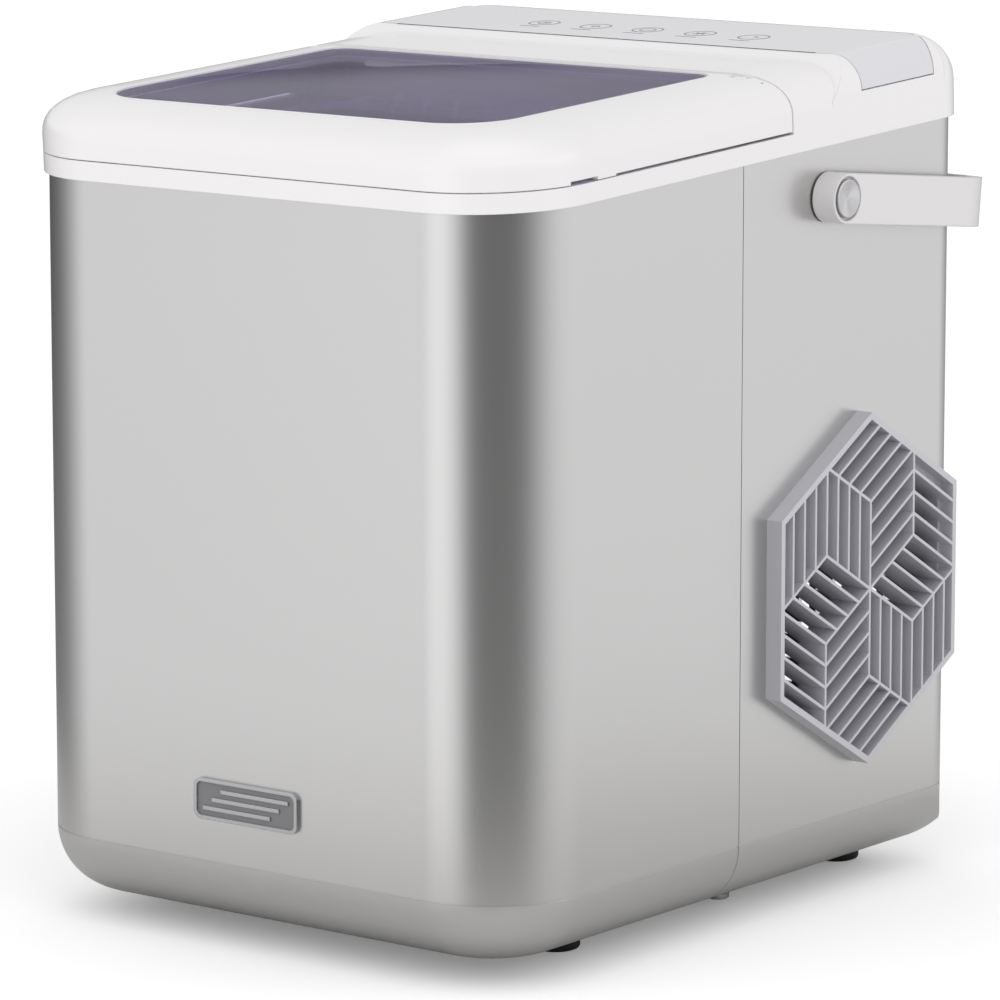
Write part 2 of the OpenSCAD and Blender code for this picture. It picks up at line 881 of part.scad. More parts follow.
module ice_basket() {
  z1 = basket_z + basket_h;
  color([0.85, 0.87, 0.9]) in_frame() difference() {
    union() {
      round_box(-basket_x, basket_x, basket_y0, basket_y1, basket_z, z1, 8);
      round_box(-basket_x - 6, basket_x + 6, basket_y0 - 2, basket_y1 + 2, rail_z + 0.2, rail_z + 2.2, 8);
    }
    round_box(-basket_x + basket_t, basket_x - basket_t, basket_y0 + basket_t, basket_y1 - basket_t,
              basket_z + basket_t, far, 6);
    for (i = [-6 : 6]) {
      box(i * 12 - 3, i * 12 + 3, basket_y0 + 12, basket_y1 - 12, 0, basket_z + 5);
      box(i * 12 - 2.5, i * 12 + 2.5, basket_y0 - 3, basket_y1 + 3, basket_z + 12, rail_z - 8);
    }
  }
}

module ice_scoop() {
  sz = basket_z + basket_t + 0.3;
  color([0.75, 0.8, 0.88]) in_frame() translate([-10, -72, sz]) {
    difference() {
      intersection() {
        rod_x(-44, 14, 0, 21, 21);
        box(-44, 14, -21, 21, 0, 21);
      }
      rod_x(-45, 12.4, 0, 21, 19.4);
      box(-70, -20, -30, 30, 26, 40);
    }
    box(12.4, 62, -6, 6, 15, 18.4);
    rod_z(62, 0, 15, 18.4, 6);
    box(11, 14, -12, 12, 6, 20.9);
  }
}

module ice_chute() {
  color([0.88, 0.89, 0.92]) in_frame() difference() {
    intersection() {
      translate([-liner_x + liner_t + fit_gap, 0, 0]) rotate([90, 0, 90])
        linear_extrude(height = 2 * (liner_x - liner_t - fit_gap))
          polygon([[-28, 168], [-28, 170.4], [28, 172.6], [40.5, 180], [40.5, 176.8], [29, 170]]);
      liner_mass(liner_t + fit_gap, far / 2);
    }
    for (i = [-9 : 9]) {
      box(i * 9 - 2.2, i * 9 + 2.2, -20, 24, 150, 200);
    }
  }
}

// ---------- ice making ----------

module evaporator() {
  pitch = 12.6;
  color([0.8, 0.8, 0.82]) in_frame() {
    box(-60, 60, tray_y - 8, tray_y + 8, evap_z, evap_z + 9);
    for (i = [0 : fingers - 1]) {
      rod_z((i - (fingers - 1) / 2) * pitch, tray_y, tray_z - 12, evap_z + eps, finger_r);
      translate([(i - (fingers - 1) / 2) * pitch, tray_y, tray_z - 12]) sphere(r = finger_r);
    }
    for (x = [-30, 30]) {
      rod_y(x, tray_y + 8 - eps, liner_y1 + 6, evap_z + 2, 3);
    }
  }
}

module evaporator_bracket() {
  x1 = bracket_x + bracket_t;
  color([0.35, 0.36, 0.38]) in_frame() difference() {
    union() {
      both_sides() {
        box(bracket_x, x1, tray_y - 12, liner_y1 - liner_t - 0.2, tray_z - 8, evap_z + 14);
      }
      box(-x1, x1, tray_y - 10, tray_y + 12, evap_z + 9.2, evap_z + 13);
      box(-x1, x1, liner_y1 - liner_t - 2.8, liner_y1 - liner_t - 0.2, evap_z - 8, evap_z + 14);
    }
    rod_x(-far, far, tray_y, tray_z, shaft_r + run_gap);
    for (x = [-30, 30]) {
      rod_y(x, 30, 60, evap_z + 2, 3.4);
    }
    rod_y(pump_x, tray_y + 5, 60, evap_z + 8, 5);
    rod_z(pump_x, tray_y + 16, 0, far, 5);
  }
}

module water_tray() {
  color([0.6, 0.65, 0.72]) in_frame() difference() {
    intersection() {
      rod_x(-tray_x, tray_x, tray_y, tray_z, tray_r + tray_t);
      union() {
        box(-far, far, -far, tray_y, 0, tray_z + 2);
        box(-far, far, tray_y - eps, far, 0, tray_z - 5.5);
        rod_x(-far, far, tray_y, tray_z, shaft_r + 4);
      }
    }
    intersection() {
      rod_x(-tray_x + 2, tray_x - 2, tray_y, tray_z, tray_r);
      box(-far, far, -far, far, 0, far);
    }
    rod_x(-far, far, tray_y, tray_z, shaft_r);
  }
}

module tray_shaft() {
  color([0.75, 0.75, 0.77]) in_frame() {
    rod_x(shaft_x0, -tray_x + 2, tray_y, tray_z, shaft_r);
    rod_x(tray_x - 2, shaft_x1, tray_y, tray_z, shaft_r);
  }
}

module tray_motor() {
  color([0.3, 0.3, 0.32]) in_frame() difference() {
    union() {
      rod_x(motor_x, liner_x - liner_t - 0.3, tray_y, tray_z, motor_r);
      box(motor_x, motor_x + 2, tray_y - 6, tray_y + 30, tray_z - 6, tray_z + 6);
    }
    rod_x(motor_x - 1, shaft_x1 + 0.4, tray_y, tray_z, shaft_r + run_gap);
  }
}

module ice_pusher() {
  color([0.82, 0.83, 0.86]) in_frame() difference() {
    union() {
      both_sides() {
        rod_x(pusher_x, pusher_x + 2.2, tray_y, tray_z, 6);
        box(pusher_x, pusher_x + 2.2, tray_y, tray_y + pusher_r + 4, tray_z - 4, tray_z + 4);
      }
      box(-pusher_x - 2.2, pusher_x + 2.2, tray_y + pusher_r, tray_y + pusher_r + 2.4, tray_z - 4, tray_z + 4);
      for (i = [-5 : 5]) {
        box(i * 12 - 1, i * 12 + 1, tray_y + pusher_r, tray_y + pusher_r + 5, tray_z - 4, tray_z + 4);
      }
    }
    rod_x(-far, far, tray_y, tray_z, shaft_r + run_gap);
  }
}

module ice_sensors() {
  color([0.1, 0.1, 0.12]) in_frame() both_sides() {
    box(liner_x - liner_t - 3.5, liner_x - liner_t - 0.1, -28, -20, rail_z + 14, rail_z + 26);
    rod_x(liner_x - liner_t - 4.5, liner_x - liner_t - 3.4, -24, rail_z + 20, 2);
  }
}

// ---------- water side ----------

pump_x = 40;
pump_y = 20;

module water_pump() {
  color([0.2, 0.22, 0.25]) in_frame() difference() {
    union() {
      rod_z(pump_x, pump_y, 76, 100, 15);
      rod_z(pump_x, pump_y, 58, 76.01, 11);
      pipe_run([pump_x, pump_y, 104], [pump_x, pump_y, 112], 4);
      rod_z(pump_x, pump_y, 99.9, 104, 8);
      box(pump_x - 18, pump_x + 18, pump_y - 1.5, pump_y + 1.5, 52, 60);
      box(pump_x - 18, pump_x - 15, pump_y - 6, pump_y + 6, base_z + wall + 3, 60);
      box(pump_x + 15, pump_x + 18, pump_y - 6, pump_y + 6, base_z + wall + 3, 60);
    }
    rod_z(pump_x, pump_y, 80, 97, 12.5);
    rod_z(pump_x, pump_y, 66, 81, 1.6);
    rod_z(pump_x, pump_y, 96, 130, 2.4);
  }
}

module pump_impeller() {
  color([0.85, 0.85, 0.88]) in_frame() {
    rod_z(pump_x, pump_y, 70, 94, 1.54);
    rod_z(pump_x, pump_y, 84, 86, 11.5);
    rod_z(pump_x, pump_y, 85.9, 94, 3.5);
    for (k = [0 : 5]) {
      translate([pump_x, pump_y, 85.9]) rotate([0, 0, k * 60]) box(3, 11, -0.7, 0.7, 0, 7);
    }
  }
}

module water_tube() {
  r = 3.4;
  color([0.85, 0.88, 0.9, 0.8]) in_frame() difference() {
    pipe([
      [pump_x, pump_y, 112.3], [pump_x, pump_y, 119], [pump_x, 56, 119],
      [pump_x, 56, evap_z + 8], [pump_x, tray_y + 16, evap_z + 8], [pump_x, tray_y + 16, evap_z + 1.5]
    ], r);
    rod_z(pump_x, tray_y + 16, evap_z, evap_z + 7, 2);
  }
}

module drain_tube() {
  r = 3.8;
  color([0.8, 0.82, 0.85, 0.9]) in_frame() difference() {
    union() {
      pipe([[70, -12, 70], [70, -12, 44], [drain_x, drain_y, 34], [drain_x, drain_y, 20]], r);
      rod_z(drain_x, drain_y, 12, 20, 4.8);
      rod_z(70, -12, 69, tank_z + liner_t, r);
    }
    rod_z(drain_x, drain_y, 0, 22, 3);
    rod_z(70, -12, 50, far, 2.4);
  }
}

module drain_plug() {
  color([0.75, 0.75, 0.77]) in_frame() {
    rod_z(drain_x, drain_y, 2.2, 4.4, 4.2);
    rod_z(drain_x, drain_y, 4.39, 7.2, 5);
    rod_z(drain_x, drain_y, 7.19, 20, 2.6);
  }
}

// ---------- cooling side ----------

module compressor() {
  zt = comp_z0 + comp_h;
  color([0.08, 0.08, 0.09]) in_frame() {
    rod_z(comp_x, comp_y, comp_z0 + 14, zt - 16, comp_r);
    intersection() {
      translate([comp_x, comp_y, comp_z0 + 34]) sphere(r = comp_r + 4);
      rod_z(comp_x, comp_y, comp_z0 - 6, comp_z0 + 15, comp_r - 2);
    }
    intersection() {
      translate([comp_x, comp_y, zt - 36]) sphere(r = comp_r + 6);
      rod_z(comp_x, comp_y, zt - 17, zt + 6, comp_r - 2);
    }
    difference() {
      box(comp_x - 43, comp_x + 43, comp_y - 43, comp_y + 43, comp_z0, comp_z0 + 3);
      for (x = [comp_x - 34, comp_x + 34]) {
        for (y = [comp_y - 34, comp_y + 34]) {
          rod_z(x, y, 0, far, 5.2);
        }
      }
      for (s = [-1, 1]) {
        box(comp_x - 20, comp_x + 20, comp_y + s * 43 - 12, comp_y + s * 43 + 12, 0, far);
        box(comp_x + s * 43 - 12, comp_x + s * 43 + 12, comp_y - 20, comp_y + 20, 0, far);
      }
    }
    for (a = [20, 160]) {
      rod_z(comp_x + 22 * cos(a), comp_y + 22 * sin(a), zt - 10, zt + 14, 3);
    }
  }
}

module compressor_grommets() {
  z0 = base_z + wall + 5;
  color([0.06, 0.06, 0.06]) in_frame() for (x = [comp_x - 34, comp_x + 34]) {
    for (y = [comp_y - 34, comp_y + 34]) {
      rod_z(x, y, z0, comp_z0, 8);
      rod_z(x, y, comp_z0 - eps, comp_z0 + 3.2, 5);
      rod_z(x, y, comp_z0 + 3.1, comp_z0 + 6, 7);
    }
  }
}

module terminal_cover() {
  color([0.12, 0.12, 0.13]) in_frame() difference() {
    box(comp_x - 16, comp_x + 16, comp_y - comp_r - 14, comp_y - comp_r + 10, 52, 88);
    rod_z(comp_x, comp_y, 0, far, comp_r + 0.2);
    box(comp_x - 14, comp_x + 14, comp_y - comp_r - 12, comp_y - comp_r + 12, 54, 86);
  }
}

module condenser() {
  color([0.7, 0.71, 0.73]) in_frame() {
    for (k = [1 : 12]) {
      box(cond_x0, cond_x1, cond_y0 + k * 5.6, cond_y0 + 0.6 + k * 5.6, 40, cond_z1 - 2);
    }
    for (z = [52 : 20 : 132]) {
      for (x = [cond_x0 + 5, cond_x1 - 5]) {
        rod_y(x, cond_y0 - 0.5, cond_y1 + 0.5, z, 2.6);
      }
    }
    for (y = [cond_y0, cond_y1 - 1.2]) {
      box(cond_x0, cond_x1, y, y + 1.2, base_z + wall + 6, cond_z1);
    }
  }
}

module fan_shroud() {
  color([0.15, 0.15, 0.16]) in_frame() {
    difference() {
      union() {
        box(-83, -81, cond_y0 - 8, cond_y1 + 4, base_z + wall + 6, 126);
        box(-83, -81, cond_y0, cond_y1 + 4, 120, cond_z1);
        rod_x(-103, -81, fan_y, fan_z, fan_r + 4.2);
      }
      rod_x(-104, -80, fan_y, fan_z, fan_r + 2);
    }
    difference() {
      union() {
        for (k = [0 : 3]) {
          translate([0, fan_y, fan_z]) rotate([45 + k * 90, 0, 0]) box(-83, -81, -2.5, 2.5, 10, fan_r + 3);
        }
        rod_x(-83, -81, fan_y, fan_z, 17);
      }
      rod_x(-90, -70, fan_y, fan_z, 12.2);
    }
  }
}

module fan_motor() {
  color([0.25, 0.25, 0.27]) in_frame() difference() {
    union() {
      rod_x(-86.5, -77, fan_y, fan_z, 12);
      rod_x(-80.8, -79, fan_y, fan_z, 15);
    }
    rod_x(-90, -79, fan_y, fan_z, 2 + run_gap);
  }
}

module fan_rotor() {
  color([0.2, 0.2, 0.22]) in_frame() translate([fan_x, fan_y, fan_z]) {
    difference() {
      rod_x(0, 12.5, 0, 0, hub_r);
      rod_x(2, 13, 0, 0, hub_r - 2);
    }
    rod_x(0, 20, 0, 0, 2);
    for (k = [0 : 4]) {
      rotate([k * 72, 0, 0]) intersection() {
        rotate([0, 0, 0]) translate([6.5, 0, 0]) rotate([0, 0, 32]) box(-0.7, 0.7, -11, 11, hub_r - 1, fan_r + 4);
        rod_x(0.4, 13.5, 0, 0, fan_r);
      }
    }
  }
}

module filter_drier() {
  color([0.72, 0.45, 0.2]) in_frame() {
    rod_z(-38, 122, 60, 112, 7);
    rod_z(-38, 122, 50, 122, 2.6);
  }
}

module solenoid_valve() {
  color([0.2, 0.3, 0.55]) in_frame() {
    box(-8, 16, 52, 74, 136, 158);
    rod_z(4, 63, 129, 166, 5);
    rod_y(4, 44 + 3, 84, 133, 3);
  }
}

module refrigerant_pipes() {
  zt = comp_z0 + comp_h + 14;
  a = [comp_x + 22 * cos(20), comp_y + 22 * sin(20), zt + 0.2];
  b = [comp_x + 22 * cos(160), comp_y + 22 * sin(160), zt + 0.2];
  color([0.78, 0.48, 0.25]) in_frame() {
    pipe([a, [a[0], a[1], 178], [30, 54, 178], [30, 54, evap_z + 2], [30, 51, evap_z + 2]], 2.5);
    pipe([b, [b[0], b[1], 164], [-50, 88, 164], [-67, 90, 160], [-67, 90, cond_z1 - 1.8]], 2.5);
    pipe([[-30, 51, evap_z + 2], [-30, 56, evap_z + 2], [-30, 56, 190], [-44, 112, 190], [-44, 112, 128],
          [-38, 122, 125]], 1.6);
  }
}

module power_board() {
  color([0.12, 0.3, 0.18]) in_frame() {
    box(-62, 62, 124, 125.6, 196, 258);
    for (x = [-54, 54]) {
      for (z = [202, 252]) {
        rod_y(x, 125.5, hd - wall - 0.2, z, 3);
      }
    }
    box(-40, -14, 104, 124.1, 206, 232);
    rod_y(10, 110, 124.1, 214, 8);
    rod_y(32, 112, 124.1, 218, 6);
    box(-6, 50, 114, 124.1, 234, 250);
  }
}

module cord_gland() {
  color([0.08, 0.08, 0.08]) in_frame() difference() {
    union() {
      rod_y(gland_x, hd + 0.1, hd + 3, gland_z, 11);
      rod_y(gland_x, hd - wall - 5, hd + 0.2, gland_z, 8);
    }
    rod_y(gland_x, hd - 20, hd + 20, gland_z, gland_r);
  }
}

module housing_screws() {
  color([0.5, 0.5, 0.52]) in_frame() for (x = [-screw_x, screw_x]) {
    for (z = screw_z) {
      rod_y(x, hd - 8, hd + 0.1, z, 1.6);
      difference() {
        rod_y(x, hd + 0.05, hd + 2, z, 3.2);
        box(x - 2.2, x + 2.2, hd + 1.1, hd + 3, z - 0.4, z + 0.4);
        box(x - 0.4, x + 0.4, hd + 1.1, hd + 3, z - 2.2, z + 2.2);
      }
    }
  }
}

base_pan();
feet();
front_housing();
rear_housing();
side_grille_right();
side_grille_left();
top_cover();
control_fascia();
touch_icons();
control_board();
badge_plate();
lid_frame();
lid_window();
hinge_pins();
lid_buffers();
handle();
handle_caps();
handle_bushes();
liner();
insulation();
ice_basket();
ice_scoop();
ice_chute();
evaporator();
evaporator_bracket();
water_tray();
tray_shaft();
tray_motor();
ice_pusher();
water_pump();
pump_impeller();
water_tube();
drain_tube();
drain_plug();
compressor();
compressor_grommets();
terminal_cover();
condenser();
fan_shroud();
fan_motor();
fan_rotor();
filter_drier();
solenoid_valve();
refrigerant_pipes();
power_board();
ice_sensors();
cord_gland();
housing_screws();
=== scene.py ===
"""Looks of a countertop ice maker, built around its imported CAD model."""

import json
import logging
import math
from dataclasses import dataclass
from enum import Enum
from typing import Iterable, Optional, Sequence

import bmesh
import bpy
from mathutils import Matrix, Vector

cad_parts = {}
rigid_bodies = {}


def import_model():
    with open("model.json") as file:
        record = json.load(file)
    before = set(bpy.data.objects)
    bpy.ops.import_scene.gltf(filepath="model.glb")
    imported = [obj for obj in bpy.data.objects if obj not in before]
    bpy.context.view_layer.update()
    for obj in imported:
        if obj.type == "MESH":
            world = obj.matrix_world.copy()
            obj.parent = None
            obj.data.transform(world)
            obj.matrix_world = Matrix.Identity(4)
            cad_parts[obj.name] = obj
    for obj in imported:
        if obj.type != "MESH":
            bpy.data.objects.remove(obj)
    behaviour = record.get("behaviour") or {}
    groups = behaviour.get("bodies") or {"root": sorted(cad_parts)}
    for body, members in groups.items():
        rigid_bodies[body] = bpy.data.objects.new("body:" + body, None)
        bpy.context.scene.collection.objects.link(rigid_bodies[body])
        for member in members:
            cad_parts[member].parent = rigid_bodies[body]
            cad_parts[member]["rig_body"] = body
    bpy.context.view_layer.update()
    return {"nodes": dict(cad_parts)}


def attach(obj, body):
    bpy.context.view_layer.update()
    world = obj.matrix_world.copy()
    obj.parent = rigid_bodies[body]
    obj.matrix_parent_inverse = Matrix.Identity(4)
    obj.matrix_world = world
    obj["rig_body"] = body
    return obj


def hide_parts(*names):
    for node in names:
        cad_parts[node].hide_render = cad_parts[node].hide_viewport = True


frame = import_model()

LOG = logging.getLogger("ice_maker")

MM = 0.001
BODY = "body"

# sizes of the part, in millimetres, measured as the part's own source measures them
FRAME_Y = -6.5695
HALF_WIDTH = 111.0
HALF_DEPTH = 134.0
SEAM_Z = 269.4
TILT = math.radians(2.9)
DECK_TOP = 22.0
PIVOT_Y = 44.6
PIVOT_Z = 253.5
FOOT_X = 73.0
FOOT_Y = (-60.0, 110.0)
DRAIN_X = 80.0
DRAIN_Y = 26.0

# from the slope of the top, and from the upright body, to the row frame
SLOPE = (
    Matrix.Scale(MM, 4)
    @ Matrix.Translation((0.0, FRAME_Y - HALF_DEPTH, SEAM_Z))
    @ Matrix.Rotation(TILT, 4, "X")
)
UPRIGHT = Matrix.Scale(MM, 4) @ Matrix.Translation((0.0, FRAME_Y, 0.0))


# ---------------------------------------------------------------- small tools

def linear(code: str) -> tuple[float, float, float, float]:
    """Turn an sRGB hex colour into the linear colour that shaders take.

    Args:
        code: Colour written as "#RRGGBB".

    Returns:
        Linear red, green and blue, and an alpha of one.
    """
    parts = [int(code[i : i + 2], 16) / 255.0 for i in (1, 3, 5)]
    low = [p / 12.92 if p <= 0.04045 else ((p + 0.055) / 1.055) ** 2.4 for p in parts]
    return (low[0], low[1], low[2], 1.0)


def add_node(
    tree: bpy.types.NodeTree,
    kind: str,
    inputs: Optional[dict] = None,
    **settings: object,
) -> bpy.types.Node:
    """Add one shader node, with its settings, values and links.

    Args:
        tree: Node tree that gets the node.
        kind: Blender's type name of the node.
        inputs: Values or sockets for the node's inputs, by name or number.
        **settings: The node's own properties.

    Returns:
        The new node.
    """
    made = tree.nodes.new(kind)
    for key, value in settings.items():
        setattr(made, key, value)
    for key, value in (inputs or {}).items():
        if isinstance(value, bpy.types.NodeSocket):
            tree.links.new(value, made.inputs[key])
        else:
            made.inputs[key].default_value = value
    return made


def blank_material(name: str) -> tuple[bpy.types.Material, bpy.types.NodeTree]:
    """Make a material whose tree holds nothing yet.

    Args:
        name: The material's real-life name.

    Returns:
        The material and its empty node tree.
    """
    material = bpy.data.materials.new(name)
    material.use_nodes = True
    material.node_tree.nodes.clear()
    return material, material.node_tree


def as_object(
    bm: bmesh.types.BMesh,
    name: str,
    body: str,
    place: Optional[Matrix] = None,
    smooth_deg: float = 32.0,
) -> bpy.types.Object:
    """Turn a finished bmesh into an object that rides on a CAD body.

    Args:
        bm: The piece's mesh; it is freed here.
        name: The piece's name.
        body: CAD body that carries the piece.
        place: Matrix from the mesh's own millimetres to the row frame.
        smooth_deg: Edges sharper than this stay sharp.

    Returns:
        The object, at the origin and unturned.
    """
    if place is not None:
        bmesh.ops.transform(bm, matrix=place, verts=bm.verts)
    bmesh.ops.recalc_face_normals(bm, faces=bm.faces)
    mark_smooth(bm, smooth_deg)
    mesh = bpy.data.meshes.new(name)
    bm.to_mesh(mesh)
    bm.free()
    made = bpy.data.objects.new(name, mesh)
    bpy.context.scene.collection.objects.link(made)
    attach(made, body)
    return made


def mark_smooth(bm: bmesh.types.BMesh, smooth_deg: float) -> None:
    """Shade faces smooth and keep edges sharp past an angle.

    Args:
        bm: Mesh to mark.
        smooth_deg: Edges sharper than this stay sharp.
    """
    limit = math.radians(smooth_deg)
    for face in bm.faces:
        face.smooth = True
    for edge in bm.edges:
        edge.smooth = edge.is_manifold and edge.calc_face_angle(0.0) < limit


def give(obj: bpy.types.Object, *materials: bpy.types.Material) -> None:
    """Put materials on an object, first slot first.

    Args:
        obj: The piece.
        *materials: Its materials, in slot order.
    """
    obj.data.materials.clear()
    for material in materials:
        obj.data.materials.append(material)


def even_normals(obj: bpy.types.Object) -> None:
    """Weigh normals by face area, so that flat faces stay flat beside rounds.

    Args:
        obj: The piece.
    """
    weigh = obj.modifiers.new("even_normals", "WEIGHTED_NORMAL")
    weigh.keep_sharp = True
    weigh.weight = 80


def spun(profile: Sequence[tuple[float, float]], steps: int = 64) -> bmesh.types.BMesh:
    """Spin a profile of (radius, height) points about the Z axis.

    Args:
        profile: Points from the axis, round the outside and back to the axis.
        steps: Number of steps in the full turn.

    Returns:
        The closed mesh, in millimetres.
    """
    bm = bmesh.new()
    verts = [bm.verts.new((r, 0.0, z)) for r, z in profile]
    edges = [bm.edges.new(pair) for pair in zip(verts, verts[1:])]
    bmesh.ops.spin(
        bm,
        geom=verts + edges,
        axis=(0.0, 0.0, 1.0),
        cent=(0.0, 0.0, 0.0),
        angle=math.tau,
        steps=steps,
        use_merge=True,
    )
    bmesh.ops.remove_doubles(bm, verts=bm.verts, dist=0.001)
    return bm


def join(whole: bmesh.types.BMesh, part: bmesh.types.BMesh) -> None:
    """Add one mesh to another and free it.

    Args:
        whole: Mesh that grows.
        part: Mesh that is added.
    """
    spare = bpy.data.meshes.new("part")
    part.to_mesh(spare)
    part.free()
    whole.from_mesh(spare)
    bpy.data.meshes.remove(spare)


def rounded_slab(
    x: float,
    y0: float,
    y1: float,
    z0: float,
    z1: float,
    front_r: float,
    rear_r: float,
    edge_r: float,
) -> bmesh.types.BMesh:
    """Make a flat slab with round plan corners and a rounded upper rim.

    Args:
        x: Half width.
        y0: Front edge.
        y1: Rear edge.
        z0: Underside.
        z1: Top.
        front_r: Plan radius of the two front corners.
        rear_r: Plan radius of the two rear corners.
        edge_r: Radius of the upper rim.

    Returns:
        The closed mesh, in millimetres.
    """
    bm = bmesh.new()
    bmesh.ops.create_grid(bm, x_segments=1, y_segments=1, size=1.0)
    bmesh.ops.scale(bm, vec=(x, (y1 - y0) / 2, 1.0), verts=bm.verts)
    bmesh.ops.translate(bm, vec=(0.0, (y0 + y1) / 2, z0), verts=bm.verts)
    middle = (y0 + y1) / 2
    for radius, ahead in ((front_r, True), (rear_r, False)):
        corners = [v for v in bm.verts if (v.co.y < middle) == ahead and abs(abs(v.co.x) - x) < 0.01]
        bmesh.ops.bevel(
            bm,
            geom=corners,
            offset=radius,
            offset_type="OFFSET",
            affect="VERTICES",
            segments=16,
            profile=0.5,
            material=-1,
        )
    rim = bmesh.ops.extrude_face_region(bm, geom=list(bm.faces))
    top = [g for g in rim["geom"] if isinstance(g, bmesh.types.BMVert)]
    bmesh.ops.translate(bm, vec=(0.0, 0.0, z1 - z0), verts=top)
    upper = [e for e in bm.edges if all(abs(v.co.z - z1) < 0.001 for v in e.verts)]
    if edge_r > 0.0:
        bmesh.ops.bevel(
            bm,
            geom=upper,
            offset=edge_r,
            offset_type="OFFSET",
            affect="EDGES",
            segments=3,
            profile=0.5,
            material=-1,
        )
    return bm


# ------------------------------------------------------------------- finishes


class Grain(Enum):
    """How the fine relief of a surface runs."""

    EVEN = (1.0, 1.0, 1.0)
    LEVEL = (0.02, 0.02, 1.0)


@dataclass(frozen=True)
class Finish:
    """A surface of one stuff, with fine relief and slight unevenness.

    Attributes:
        name: The stuff's common name and how it was made.
        colour: sRGB colour.
        rough: Mean roughness.
        grain_mm: Size of the fine relief.
        depth: Strength of the fine relief.
        metal: One for bare metal, nought for the rest.
        coat: Weight of a clear top layer.
        uneven: How much colour and roughness wander.
        edge_mm: Radius of the worn or moulded edges.
        grain: How the relief runs.
    """

    name: str
    colour: str
    rough: float
    grain_mm: float = 0.8
    depth: float = 0.05
    metal: float = 0.0
    coat: float = 0.0
    uneven: float = 0.03
    edge_mm: float = 0.25
    grain: Grain = Grain.EVEN

    def build(self) -> bpy.types.Material:
        """Make the Blender material."""
        material, tree = blank_material(self.name)
        place = add_node(tree, "ShaderNodeTexCoord").outputs["Object"]
        run = add_node(
            tree,
            "ShaderNodeMapping",
            {"Vector": place, "Scale": self.grain.value},
        ).outputs["Vector"]
        fine = add_node(
            tree,
            "ShaderNodeTexNoise",
            {"Vector": run, "Scale": 1.0 / (self.grain_mm * MM), "Detail": 3.0, "Roughness": 0.6},
        ).outputs["Fac"]
        broad = add_node(
            tree,
            "ShaderNodeTexNoise",
            {"Vector": place, "Scale": 14.0, "Detail": 2.0},
        ).outputs["Fac"]
        wander = add_node(
            tree,
            "ShaderNodeMix",
            {"Factor": 0.4, "A": broad, "B": fine},
            data_type="FLOAT",
        ).outputs["Result"]
        base = linear(self.colour)
        dark = tuple(c * (1.0 - self.uneven) for c in base[:3]) + (1.0,)
        light = tuple(min(1.0, c * (1.0 + self.uneven)) for c in base[:3]) + (1.0,)
        tone = add_node(
            tree,
            "ShaderNodeMix",
            {"Factor": wander, "A": dark, "B": light},
            data_type="RGBA",
        ).outputs["Result"]
        rough = add_node(
            tree,
            "ShaderNodeMapRange",
            {
                "Value": wander,
                "From Min": 0.25,
                "From Max": 0.75,
                "To Min": self.rough * (1.0 - 1.6 * self.uneven),
                "To Max": self.rough * (1.0 + 1.6 * self.uneven),
            },
        ).outputs["Result"]
        edge = add_node(
            tree, "ShaderNodeBevel", {"Radius": self.edge_mm * MM}, samples=4
        ).outputs["Normal"]
        relief = add_node(
            tree,
            "ShaderNodeBump",
            {"Height": fine, "Strength": self.depth, "Distance": 0.1 * MM, "Normal": edge},
        ).outputs["Normal"]
        shader = add_node(
            tree,
            "ShaderNodeBsdfPrincipled",
            {
                "Base Color": tone,
                "Metallic": self.metal,
                "Roughness": rough,
                "Normal": relief,
                "Coat Weight": self.coat,
                "Coat Roughness": 0.08,
            },
        ).outputs["BSDF"]
        add_node(tree, "ShaderNodeOutputMaterial", {"Surface": shader})
        return material


@dataclass(frozen=True)
class SmokedPane:
    """Violet smoked polycarbonate, polished and see-through.

    Attributes:
        name: The stuff's common name.
        colour: sRGB colour of one pass through a face.
        rough: Roughness of the polish.
    """

    name: str
    colour: str
    rough: float = 0.03

    def build(self) -> bpy.types.Material:
        """Make the Blender material."""
        material, tree = blank_material(self.name)
        place = add_node(tree, "ShaderNodeTexCoord").outputs["Object"]
        ripple = add_node(
            tree,
            "ShaderNodeTexNoise",
            {"Vector": place, "Scale": 26.0, "Detail": 1.0},
        ).outputs["Fac"]
        base = linear(self.colour)
        deep = tuple(c * 0.92 for c in base[:3]) + (1.0,)
        tone = add_node(
            tree,
            "ShaderNodeMix",
            {"Factor": ripple, "A": deep, "B": base},
            data_type="RGBA",
        ).outputs["Result"]
        wave = add_node(
            tree,
            "ShaderNodeBump",
            {"Height": ripple, "Strength": 0.05, "Distance": 0.4 * MM},
        ).outputs["Normal"]
        polish = add_node(
            tree,
            "ShaderNodeBsdfPrincipled",
            {
                "Base Color": tone,
                "Roughness": self.rough,
                "Transmission Weight": 0.5,
                "IOR": 1.25,
                "Normal": wave,
            },
        ).outputs["BSDF"]
        # most light goes straight through the thin sheet
        through = add_node(tree, "ShaderNodeBsdfTransparent", {"Color": tone}).outputs["BSDF"]
        both = add_node(
            tree, "ShaderNodeMixShader", {0: 0.72, 1: polish, 2: through}
        ).outputs["Shader"]
        add_node(tree, "ShaderNodeOutputMaterial", {"Surface": both})
        return material


